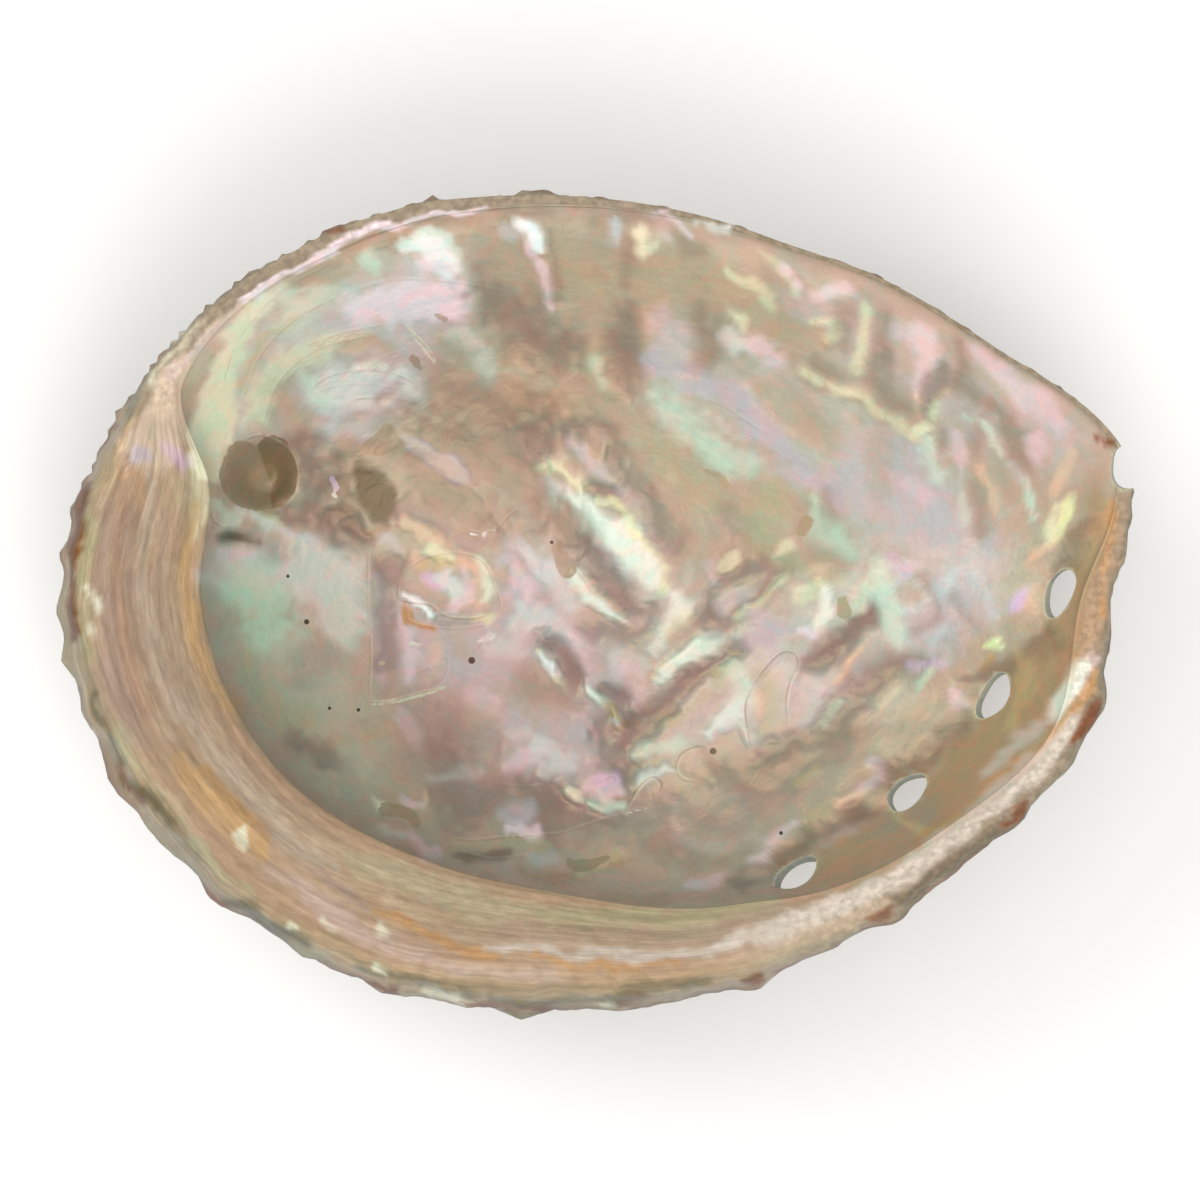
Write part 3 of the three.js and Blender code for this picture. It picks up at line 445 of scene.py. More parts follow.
    ("PINK", 0.7, 0.5, ((32.2, -17, 0.5), (33, -18.4, 0.5), (31, -19.4, 0.3))),
    ("MOSS", 0.7, 0.3, ((36.8, -14.8, 0.3), (37.2, -15.6, 0.2))),
    ("BROWN", 0.8, 0.6, ((30, -22.4, 0.7), (34, -22.6, 0.8), (37, -21, 0.5))),
    ("ROSE", 0.4, 0.5, ((28, -24, 0.5), (30, -23.4, 0.5), (27.2, -25.2, 0.4))),
    ("BLUSH", 0.5, 0.4, ((19.8, -27, 0.3), (21.2, -26.4, 0.4))),
    ("ROSE", 0.75, 0.35, ((13.2, -29.7, 0.3), (15.6, -29.4, 0.4), (17.8, -28.4, 0.2))),
    ("UMBER", 0.6, 0.5, ((18.6, -29, 0.4), (21.6, -28.8, 0.5))),
    ("OLIVE", 0.6, 0.5, ((-4, -28.2, 0.4), (1, -28.5, 0.5), (6, -27.3, 0.4))),
    ("STRAW", 0.3, 0.4, ((2, -28.4, 0.3), (6.4, -26.6, 0.3))),
    ("SKY", 0.35, 0.5, ((-3, -26.6, 0.4), (-0.6, -26.8, 0.4))),
    ("STONE", 0.6, 0.4, ((-10.6, -26.3, 0.3), (-8.6, -26.9, 0.4), (-5.6, -26.6, 0.25))),
    ("MOSS", 0.6, 0.35, ((-11, -25.3, 0.3), (-6, -25.5, 0.3), (-1.6, -25.3, 0.25))),
    ("UMBER", 0.6, 0.6, ((53.6, 8.2, 0.3), (52, 4.6, 0.5), (50.8, 3.2, 0.3))),
    ("UMBER", 0.6, 0.6, ((49.6, -3.4, 0.5), (46.6, -6.6, 0.4), (44, -7.2, 0.4), (42, -8.2, 0.3))),
    ("UMBER", 0.6, 0.6, ((41.6, -12, 0.4), (38.4, -15.6, 0.4), (35.2, -17, 0.4), (33.6, -18.8, 0.3))),
    ("UMBER", 0.6, 0.6, ((31, -21.8, 0.3), (28, -23.8, 0.3), (25.4, -25.2, 0.4), (22.4, -27.6, 0.4))),
    ("GOLD", 0.5, 0.5, ((34.6, -20.4, 0.3), (35.2, -22.4, 0.35), (37.2, -24, 0.2))),
    ("GOLD", 0.4, 0.5, ((47, -4.4, 0.3), (48, -8, 0.5), (46.6, -12.4, 0.4))),
    ("ROSE", 0.5, 0.5, ((54, -5.6, 0.4), (52.6, -9.4, 0.3))),
    ("PALE", 0.75, 0.5, ((52.6, -7, 0.5), (51.8, -9.2, 0.6), (50.4, -11.6, 0.4))),
    ("MIST", 0.5, 0.5, ((49, -12.6, 0.6), (46.6, -15.2, 0.5), (43.8, -18, 0.4))),
    ("AMBER", 0.75, 0.3, ((56.4, 9.6, 0.2), (55.7, 4, 0.2), (55.2, -1, 0.15))),
    ("AMBER", 0.85, 0.3, ((54.2, -7.4, 0.2), (53, -10.6, 0.3), (50, -14, 0.3), (46, -17.8, 0.3),
        (41.4, -21.6, 0.3), (37, -24.4, 0.25))),
    # The shelf, band by band from its inner edge to the knobbly outline.
    ("HONEY", 0.9, 0.8, ((-37.6, 9, 0.3), (-38.1, 4, 0.6), (-38, -2, 0.8), (-36.2, -7.6, 0.7),
        (-33.6, -12, 0.5))),
    ("CLAY", 0.55, 0.8, ((-35.4, -11, 0.6), (-31.4, -16, 0.9), (-26, -20.8, 0.9), (-20.4, -24.2, 0.6),
        (-14, -26.8, 0.3))),
    ("KHAKI", 0.45, 0.6, ((-38.8, 12, 0.5), (-38.4, 8, 0.5))),
    ("TAUPE", 0.75, 0.6, ((-41.6, 12.6, 0.4), (-42.4, 6, 0.4), (-42.4, 0, 0.5), (-41.4, -6, 0.6),
        (-39, -11, 0.7), (-35.6, -16, 0.9),
        (-31.4, -20.6, 1), (-27.6, -24, 0.9), (-23, -27.6, 0.6))),
    ("SAND", 0.5, 0.7, ((-40, 3, 0.8), (-39.8, -3, 0.8), (-37.4, -10, 0.5), (-32.6, -17, 0.4),
        (-27.6, -21.8, 0.6), (-21, -26.4, 0.8))),
    ("MOSS", 0.55, 0.9, ((-21, -26.6, 0.9), (-15, -29, 1.3), (-8, -31, 1.2), (-1, -32, 0.9))),
    ("KHAKI", 0.85, 0.7, ((-2, -32, 0.5), (5, -32.3, 0.9), (12, -32.4, 1), (18, -31.6, 0.7),
        (22, -30.8, 0.4))),
    ("CLAY", 0.5, 0.35, ((-8, -28.8, 0.2), (0, -30.4, 0.3), (8, -30.8, 0.35), (16, -30.6, 0.3),
        (22, -29.8, 0.2))),
    ("CLAY", 0.8, 0.6, ((-44.6, 11, 0.5), (-44.8, 4, 0.6), (-44.8, -2, 0.7), (-43.8, -7.6, 0.6),
        (-42, -12, 0.4))),
    ("AMBER", 0.4, 0.4, ((-45, 12.6, 0.3), (-43.2, 12.4, 0.2), (-43, 9, 0.25))),
    ("BROWN", 0.7, 0.3, ((-46.3, 10, 0.2), (-46.6, 3, 0.25), (-46, -4, 0.25), (-44.8, -9.6, 0.3),
        (-42.6, -14.6, 0.25))),
    ("BROWN", 0.5, 0.25, ((-43.6, 9, 0.12), (-43.6, 1, 0.12), (-42.8, -5, 0.12))),
    ("BROWN", 0.4, 0.3, ((-40.6, 8, 0.15), (-41, 0, 0.15), (-40, -6, 0.2), (-37.6, -11.6, 0.15))),
    ("SAND", 0.5, 0.5, ((-41, -11.4, 0.5), (-39.6, -14, 0.6))),
    ("HONEY", 0.95, 0.8, ((-39.4, -16.2, 0.7), (-37, -19.6, 1.3), (-33.6, -22.6, 1.2), (-30.4, -25, 0.7))),
    ("AMBER", 0.45, 0.4, ((-36.4, -17.6, 0.3), (-33, -21.4, 0.4), (-30, -24, 0.3))),
    ("HORN", 0.9, 0.9, ((-36, -24.4, 0.9), (-31.6, -28, 1.2), (-26, -31.8, 1.3), (-19.6, -35.4, 1.2),
        (-12, -38, 1.1), (-4, -39, 1), (4, -39.2, 1),
        (12, -38.2, 0.9), (19, -36.8, 0.7))),
    ("ROSE", 0.35, 0.7, ((-29.4, -27.4, 0.6), (-24.6, -31, 0.9), (-19, -34.4, 0.8), (-11, -37.4, 0.6),
        (0, -38.6, 0.6))),
    ("MAUVE", 0.45, 0.4, ((-26.4, -26.8, 0.4), (-23.4, -29, 0.5), (-20.4, -31, 0.3))),
    ("SAND", 0.6, 0.5, ((-18.6, -30, 0.3), (-13.6, -32.6, 0.5), (-8, -34.2, 0.4), (0, -34.8, 0.4),
        (9, -34.6, 0.4), (16, -33.6, 0.4))),
    ("BROWN", 0.45, 0.4, ((-6, -33.4, 0.3), (2, -34, 0.4), (10, -34.2, 0.4), (18, -33.2, 0.3),
        (26, -30.8, 0.3))),
    ("AMBER", 0.8, 0.3, ((-19.4, -31.4, 0.15), (-15.4, -33, 0.4), (-11, -34.8, 0.4), (-6, -36, 0.3))),
    ("AMBER", 0.7, 0.3, ((-3, -36.4, 0.2), (2, -37, 0.3), (7, -37.3, 0.3), (12, -36.8, 0.2))),
    ("CHALK", 0.8, 0.4, ((-7, -35, 0.1), (-2, -35.6, 0.3), (3, -35.9, 0.35), (8, -36, 0.35),
        (13, -35.9, 0.35), (18, -35, 0.4))),
    ("CHALK", 0.85, 0.5, ((16, -35.4, 0.4), (21, -34.2, 0.7), (26, -32.4, 0.9), (31, -29.8, 0.95),
        (36, -26.9, 1), (41, -23.4, 1), (45.4, -19.8, 0.9),
        (49.4, -16, 0.8), (52.6, -12.4, 0.6))),
    ("SAND", 0.6, 0.5, ((17, -37, 0.4), (23, -35.4, 0.5), (30, -32.6, 0.4), (33, -31, 0.3))),
    ("STONE", 0.75, 0.6, ((34, -30.4, 0.4), (38.6, -27.8, 0.8), (43, -24.8, 0.8), (45.6, -22.8, 0.4))),
    ("KHAKI", 0.7, 0.6, ((-48, 8.4, 0.4), (-48.6, 3, 0.6), (-48.6, -3, 0.6), (-48.4, -6, 0.4))),
    ("CREAM", 0.75, 0.3, ((-48.3, 1.6, 0.4), (-47.4, -0.4, 0.4))),
    ("CREAM", 0.6, 0.25, ((-48, -2.9, 0.3), (-47.6, -3.4, 0.2))),
    ("BROWN", 0.65, 0.6, ((-46.8, -7, 0.6), (-46, -10, 0.7), (-44.4, -12.4, 0.4))),
    ("STONE", 0.7, 0.4, ((-47.8, -9.4, 0.25), (-46.4, -13.2, 0.3), (-44.6, -16.4, 0.3))),
    ("MOSS", 0.6, 0.5, ((-44.8, -13.4, 0.5), (-43, -17, 0.5), (-40.4, -20.4, 0.4))),
    ("STONE", 0.85, 0.5, ((-43.6, -19, 0.4), (-41.4, -20.6, 0.7), (-39.4, -22.8, 0.6),
        (-36.6, -26.4, 0.35))),
    ("BROWN", 0.6, 0.5, ((-38.6, -24.6, 0.5), (-36, -27.4, 0.6), (-33.6, -29, 0.4))),
    ("MOSS", 0.6, 0.5, ((-39.2, -20.4, 0.3), (-38, -23.4, 0.3), (-34.6, -27.6, 0.4), (-31, -29.4, 0.3))),
    ("STONE", 0.8, 0.5, ((-33.8, -30.6, 0.5), (-31.4, -31.4, 0.8), (-29, -33.4, 0.6), (-25.6, -35, 0.4))),
    ("STONE", 0.65, 0.4, ((-20.6, -37.4, 0.3), (-16, -38.6, 0.4), (-10.6, -40.2, 0.3),
        (-4.6, -40.8, 0.35), (2, -40.8, 0.4), (9, -39.8, 0.4), (15, -38.8, 0.3))),
    ("KHAKI", 0.6, 0.4, ((-27, -35.6, 0.4), (-24.6, -36.6, 0.4))),
    ("CREAM", 0.7, 0.4, ((-13.4, -40.6, 0.3), (-10.8, -41.2, 0.5))),
    ("CREAM", 0.6, 0.3, ((3.6, -41.3, 0.2), (5, -41.1, 0.3))),
    ("RUST", 0.9, 0.35, ((-48.7, 11.4, 0.4), (-48.9, 9, 0.5), (-49.7, 5.6, 0.45), (-49.9, 2, 0.4),
        (-50.1, -1, 0.5), (-49.6, -4, 0.3))),
    ("RUST", 0.8, 0.3, ((-46.6, 16.6, 0.2), (-45.4, 18, 0.25))),
    ("RUST", 0.8, 0.35, ((-45, -17.2, 0.3), (-44.4, -19, 0.35), (-42.8, -20.6, 0.2))),
    ("RUST", 0.8, 0.35, ((-36.6, -29.4, 0.3), (-34.8, -31, 0.3))),
    ("RUST", 0.85, 0.35, ((-21.6, -38.4, 0.3), (-20.4, -38.9, 0.5), (-17.4, -40, 0.5))),
    ("RUST", 0.85, 0.35, ((-9.2, -41.9, 0.4), (-7, -41.4, 0.5), (-3.6, -42.2, 0.6), (-1.6, -41.6, 0.3))),
    ("RUST", 0.6, 0.35, ((6, -41.2, 0.2), (8, -40.8, 0.3))),
    ("RUST", 0.85, 0.3, ((19, -38.9, 0.3), (20.6, -38.6, 0.4))),
    ("RUST", 0.7, 0.4, ((32.2, -32.6, 0.3), (33.6, -31.9, 0.4))),
    ("RUST", 0.9, 0.35, ((45.4, -22.8, 0.3), (46.8, -21.6, 0.5), (47.4, -20.4, 0.2))),
    ("RUST", 0.9, 0.4, ((52.8, -14.4, 0.3), (54, -12.8, 0.7), (54.9, -11, 0.3))),
    ("CREAM", 0.8, 0.25, ((-32.6, -23.9, 0.35), (-32, -24.6, 0.2))),
    ("CREAM", 0.7, 0.25, ((-27.2, -33.2, 0.3), (-26.6, -33.5, 0.2))),
    ("CREAM", 0.8, 0.25, ((-19, -37.2, 0.3), (-18, -37.6, 0.25))),
    ("CREAM", 0.5, 0.3, ((-23.6, -32.8, 0.2), (-22.4, -33.4, 0.25))),
    ("CREAM", 0.6, 0.3, ((-18.6, -32.8, 0.25), (-17.8, -34, 0.25))),
    # The lip's crust and its pearly line.
    ("CRUST", 0.95, 0.3, ((-43.6, 19.4, 0.9), (-42, 22.8, 1.1), (-38.8, 26.4, 1.2), (-36, 29, 1.1),
        (-32, 32.2, 0.9), (-27.4, 35, 0.7),
        (-22, 37.8, 0.5), (-15, 40.2, 0.5), (-7, 41.2, 0.5), (0, 41.2, 0.3), (6, 41, 0.15))),
    ("CREAM", 0.4, 0.4, ((-41.6, 22, 0.3), (-39, 25.6, 0.3), (-36.4, 28.2, 0.3))),
    ("BLUSH", 0.9, 0.2, ((-33, 30.2, 0.1), (-28, 33.4, 0.22), (-22.6, 36.4, 0.25), (-18, 38, 0.22),
        (-13, 39.3, 0.12), (-7, 40, 0.1))),
    ("RUST", 0.7, 0.3, ((-24.2, 37.4, 0.2), (-22.6, 37.8, 0.2))),
    ("RUST", 0.85, 0.25, ((-3.8, 41.8, 0.2), (-2, 41.9, 0.2))),
    ("RUST", 0.7, 0.25, ((41, 28.6, 0.15), (42, 27.8, 0.15))),
    ("RUST", 0.8, 0.25, ((54.6, 16.8, 0.15), (56.2, 16.2, 0.2))),
    # The hollow of the spire.
    ("SLATE", 0.85, 0.7, ((-21.2, 12.9, 1.1), (-19.9, 11.4, 1.7), (-19, 9.9, 1.5))),
    ("CAVE", 0.6, 0.8, ((-32.4, 14.4, 2.2), (-31.6, 12.4, 2.8))),
)

# Small crisp pieces: flakes, plates and stains, as name, sRGB hex and a path with half widths in mm.
PLATES = (
    ("crescent", "9B856B", ((-33, 14.8, 1.7), (-32.4, 12.6, 2.9), (-31.2, 11.6, 2.2))),
    # The darker right half of the hollow: its own brown with a painted shadow under its overhanging side.
    ("pit", "806548", ((-29.9, 15.3, 1.8), (-29.5, 13.4, 2.3), (-30.0, 11.2, 1.7))),
    ("brown_plate", "A78D76", ((-21.2, 15.6, 0.3), (-18.4, 16.6, 1.3), (-18.1, 17.9, 0.6))),
    ("brown_plate_foot", "A78D76", ((-16.8, 16.4, 0.5), (-19.8, 15.6, 0.3))),
    ("tongue", "BBA79C", ((-16.6, 17.3, 0.3), (-14.4, 15.6, 0.7), (-12, 14, 0.9), (-10.2, 12.9, 0.7))),
    ("middle_plate", "A9958A", ((-11.4, 6.6, 0.3), (-9.6, 5.7, 0.7), (-7.6, 6.5, 0.3))),
    ("flat_plate", "A9927A", ((-0.4, 5.4, 0.6), (0.6, 3.4, 1.1))),
    ("stain_upper", "AB9A7C", ((14.8, 13.6, 0.2), (16.4, 13, 0.35), (17.4, 12, 0.4))),
    ("stain_fold", "AA9778", ((25.7, 8.2, 0.7), (25.3, 7.2, 0.6))),
    ("stain_cell", "A99A78", ((29.4, 0, 0.5), (29.6, -1.2, 0.8))),
    ("stain_band", "A99878", ((17.6, -5.4, 0.3), (18.6, -5.6, 0.3))),
    ("stain_pink", "B79F90", ((-12.9, 29.5, 0.2), (-11.9, 29, 0.35))),
    ("stain_floor", "94886B", ((0.9, -27.5, 0.4), (2.4, -27.8, 0.6), (5, -27, 0.25))),
    ("stain_edge", "A28B6F", ((-18.4, -21.9, 0.7), (-16, -22.4, 0.6), (-15.2, -23.4, 0.5))),
    ("sparkle", "C4AFC0", ((-24, 12.8, 0.3), (-23.6, 11.8, 0.35))),
    ("sparkle_foot", "E6CFC0", ((-23.9, 11.2, 0.2), (-23.7, 10.8, 0.2))),
    ("spur", "D6CBB8", ((-15.9, 28.4, 0.15), (-14.8, 27, 0.3), (-13.4, 25.2, 0.25), (-12.9, 24.3, 0.08))),
    ("spur_shade", "9C8674", ((-15.2, 25, 0.5), (-14.6, 24.2, 0.3))),
    ("flake_long", "CDD2B2", ((-20.3, -11, 0.1), (-17.6, -10.7, 0.2), (-15, -10.1, 0.22),
        (-12.3, -9.2, 0.12))),
    ("flake_wedge", "B7AE9A", ((-14.4, -8.4, 0.2), (-13.4, -7.8, 0.55), (-12.7, -6.9, 0.25))),
    ("flake_small", "DAD2CC", ((-8.6, -4.4, 0.15), (-7.3, -3.8, 0.3))),
    ("chip_left", "E6DACA", ((-15.9, -4.6, 0.25), (-15, -4.8, 0.2))),
    ("chip_low", "BFAD90", ((-19.2, -6.8, 0.25), (-18.8, -6.6, 0.2))),
    ("foot_line", "E9ECDC", ((7, -22.4, 0.08), (9, -21.9, 0.08))),
    ("arc_line", "EAE4DE", ((-9.9, 7.1, 0.05), (-8.7, 6.9, 0.12), (-7, 7.4, 0.08))),
    ("floor_line", "DDD6CC", ((-5, -24.9, 0.05), (-3.2, -24.7, 0.1), (-1.6, -24.8, 0.05))),
)


@dataclass(frozen=True)
class Seam:
    """A crack, a flake's edge or a blister's outline in the nacre: a line with a small step."""

    name: str
    step: float
    strength: float
    points: tuple[tuple[float, float], ...]


SEAMS = (
    Seam("crease", 0.25, 0.6, ((-20.4, 5.6), (-20.5, 0.0), (-20.2, -5.1), (-20.4, -10.7))),
    Seam("crease_foot", 0.25, 0.7, ((-21.2, -10.8), (-18.3, -10.8), (-15.3, -10.0), (-12.2, -9.2))),
    Seam("scar_top", 0.12, 0.5, (
        (-16.5, 2.9), (-14.3, 4.4), (-11.2, 4.9), (-8.4, 4.1), (-7.1, 1.5), (-6.5, -0.8), (-7.7, -2.2))),
    Seam("scar_foot", 0.22, 0.8, (
        (-17.1, 2.5), (-17.3, 0.2), (-15.9, -0.3), (-13.9, -0.6), (-12.2, -1.8), (-9.2, -2.0),
        (-6.5, -1.2))),
    Seam("scar_under", 0.1, 0.5, (
        (-16.5, -0.5), (-16.1, -2.2), (-13.8, -2.9), (-10.7, -3.1), (-7.1, -2.5))),
    Seam("flake_a", 0.1, 0.35, ((-15.9, -8.1), (-13.8, -7.1), (-12.2, -6.1), (-12.4, -8.1), (-13.9, -9.2))),
    Seam("flake_b", 0.1, 0.35, ((-9.7, -5.1), (-8.1, -4.3), (-7.1, -3.3), (-8.4, -4.6), (-9.2, -5.6))),
    Seam("blister_long", 0.22, 0.9, (
        (20.1, -16.3), (19.6, -13.8), (19.4, -11.0), (20.6, -8.4), (22.8, -5.8), (24.2, -5.5),
        (24.9, -6.6), (24.1, -8.4), (23.6, -10.7), (23.8, -13.8))),
    Seam("blister_round", 0.2, 0.9, (
        (15.5, -15.5), (14.0, -15.5), (12.6, -16.3), (12.1, -17.7), (12.8, -18.9), (14.3, -19.1))),
    Seam("blister_small", 0.2, 0.9, (
        (10.2, -20.4), (10.6, -19.4), (9.7, -18.6), (8.5, -19.4), (7.5, -20.8), (6.8, -22.4),
        (9.0, -21.7))),
    Seam("floor_edge", 0.18, 0.6, (
        (-11.7, -25.0), (-9.2, -25.3), (-6.1, -25.0), (-3.1, -24.8), (0.0, -24.6), (3.1, -23.6),
        (6.9, -22.4))),
    Seam("wave", 0.1, 0.3, ((-7.3, -19.4), (-4.1, -19.8), (-1.0, -19.4), (1.5, -18.5), (3.1, -17.8))),
    Seam("growth_1", 0.08, 0.5, (
        (-26.5, 21.2), (-24.4, 22.9), (-21.4, 23.7), (-17.8, 23.6), (-14.8, 22.4))),
    Seam("growth_2", 0.06, 0.5, ((-21.9, 20.8), (-19.4, 21.0), (-16.8, 20.9), (-14.8, 20.4))),
    Seam("growth_3", 0.05, 0.4, ((-26.5, 26.0), (-22.4, 27.5), (-18.3, 28.3))),
    Seam("growth_4", 0.05, 0.35, ((-33.0, 20.0), (-30.5, 25.5), (-26.0, 29.5), (-20.0, 32.0))),
    Seam("growth_5", 0.05, 0.4, ((-31.0, 17.5), (-29.0, 22.5), (-25.0, 25.8), (-19.0, 27.4))),
    Seam("growth_6", 0.05, 0.35, ((-35.0, 21.0), (-33.0, 26.5), (-28.5, 31.5), (-23.0, 34.4))),
    Seam("growth_7", 0.05, 0.3, ((-27.5, 19.0), (-25.0, 21.6), (-20.5, 22.4), (-15.5, 21.6))),
    Seam("growth_8", 0.05, 0.3, ((-22.5, 31.2), (-17.0, 32.8), (-11.0, 32.6), (-5.0, 31.6))),
    Seam("pit_edge", 0.15, 0.8, (
        (-33.2, 16.4), (-31.0, 17.0), (-28.4, 15.6), (-27.6, 13.0), (-28.6, 10.4), (-30.6, 9.6))),
    Seam("apex_lip", 0.1, 0.8, ((-35.9, 9.4), (-36.1, 8.4), (-35.0, 7.5), (-34.2, 7.7))),
    Seam("curl", 0.1, 0.5, ((4.6, -19.1), (5.1, -18.7), (5.8, -18.8), (5.6, -19.4))),
    Seam("chip_a", 0.1, 0.3, ((-16.3, -5.1), (-15.5, -4.8), (-14.6, -4.9))),
    Seam("small_a", 0.04, 0.35, ((14.3, 20.9), (16.8, 20.2), (19.4, 18.5), (21.4, 17.1))),
    Seam("tongue", 0.12, 0.4, ((-10.7, 8.1), (-9.2, 7.1), (-7.1, 7.3), (-5.6, 8.7), (-4.1, 9.9))),
    Seam("ridge_crack", 0.05, 0.5, ((1.2, 3.6), (3.1, 1.0), (4.1, -1.0))),
    Seam("patch_edge", 0.03, 0.3, ((-21.4, 23.2), (-17.8, 25.3), (-15.3, 26.0))),
    Seam("spur", 0.15, 0.8, ((-16.8, 28.7), (-15.3, 27.5), (-13.8, 26.0), (-12.9, 24.2))),
    Seam("shelf_tip", 0.05, 0.4, ((-10.7, -26.3), (-7.1, -27.1), (-3.1, -26.7))),
    Seam("pearl_edge", 0.2, 0.9, (
        (-44.3, 12.4), (-44.5, 13.2), (-41.8, 13.5), (-39.7, 13.4), (-37.5, 13.2))),
)


def linear(code: str) -> tuple[float, float, float, float]:
    """An sRGB hex colour as linear red, green, blue and alpha."""
    parts = [int(code[i:i + 2], 16) / 255 for i in (0, 2, 4)]
    return (*(p / 12.92 if p <= 0.04045 else ((p + 0.055) / 1.055) ** 2.4 for p in parts), 1.0)


def smooth(value: np.ndarray, low: float, high: float) -> np.ndarray:
    """A smooth step from 0 at low to 1 at high.

    Args:
        value: The numbers to map.
        low: Where the step starts.
        high: Where it ends; it may be under low for a falling step.

    Returns:
        The step, as 3t^2 - 2t^3 of the clamped share t.
    """
    t = np.clip((value - low) / (high - low), 0.0, 1.0)
    return t * t * (3.0 - 2.0 * t)


def trail(points: tuple[tuple[float, ...], ...], parts: int = 5) -> np.ndarray:
    """A smooth path through points.

    Args:
        points: Places, with a half width or not.
        parts: How many pieces to cut each span into.

    Returns:
        The path's points: cubic spans whose slope at a point is half the step between its
        neighbours. Two points give a straight path, and one gives a dot.
    """
    table = np.array(points, dtype=float)
    if len(table) < 3:
        return table if len(table) == 2 else np.repeat(table, 2, axis=0)
    slope = np.gradient(table, axis=0)
    t = (np.arange(parts) / parts)[None, :, None]
    a, b, da, db = table[:-1, None], table[1:, None], slope[:-1, None], slope[1:, None]
    spans = a + t * da + t**2 * (3 * (b - a) - 2 * da - db) + t**3 * (da + db - 2 * (b - a))
    return np.concatenate([spans.reshape(-1, table.shape[1]), table[-1:]])


def beyond(x: np.ndarray, y: np.ndarray, path: np.ndarray, reach: float) -> tuple[np.ndarray, ...]:
    """How far places lie outside a stroke.

    Args:
        x: Places along x, in mm.
        y: Places along y, in mm.
        path: The stroke's path, with its half width in the third column.
        reach: How far from the stroke to look, in mm.

    Returns:
        The numbers of the places that lie near it, their distance from the nearest span of the
        path less its half width there, the side of the path that they lie on, and how far along
        the path they are as a share.
    """
    wide = path[:, 2].max() + reach
    low, high = path[:, :2].min(axis=0) - wide, path[:, :2].max(axis=0) + wide
    near = np.flatnonzero((x > low[0]) & (x < high[0]) & (y > low[1]) & (y < high[1]))
    dx, dy = x[near, None] - path[None, :-1, 0], y[near, None] - path[None, :-1, 1]
    way = np.diff(path, axis=0)
    size = np.hypot(way[:, 0], way[:, 1]) + 1e-9
    share = np.clip((dx * way[:, 0] + dy * way[:, 1]) / size**2, 0.0, 1.0)
    away = np.hypot(dx - share * way[:, 0], dy - share * way[:, 1]) - path[:-1, 2] - share * way[:, 2]
    best = away.argmin(axis=1)
    pick = (np.arange(len(near)), best)
    side = np.sign((dy * way[:, 0] - dx * way[:, 1])[pick])
    return near, away[pick], side, (best + share[pick]) / len(way)


@dataclass(frozen=True)
class Ripple:
    """Smooth seeded noise over the plan of the shell, between -1 and 1."""

    cell: float
    seed: int
    turn: float = 0.0
    stretch: float = 1.0

    def at(self, x: np.ndarray, y: np.ndarray) -> np.ndarray:
        """The noise at places: random values on a turned and stretched lattice, blended smoothly.

        Args:
            x: Places along x, in mm.
            y: Places along y, in mm.

        Returns:
            The noise.
        """
        table = np.random.default_rng(self.seed).uniform(-1.0, 1.0, (64, 64))
        turn = math.radians(self.turn)
        u = (x * math.cos(turn) + y * math.sin(turn)) / (self.cell * self.stretch) + 31.7
        v = (-x * math.sin(turn) + y * math.cos(turn)) / self.cell + 17.3
        i, j = np.floor(u).astype(int), np.floor(v).astype(int)
        s, t = smooth(u - i, 0.0, 1.0), smooth(v - j, 0.0, 1.0)
        low = table[i % 64, j % 64] * (1 - s) + table[(i + 1) % 64, j % 64] * s
        high = table[i % 64, (j + 1) % 64] * (1 - s) + table[(i + 1) % 64, (j + 1) % 64] * s
        return low * (1 - t) + high * t


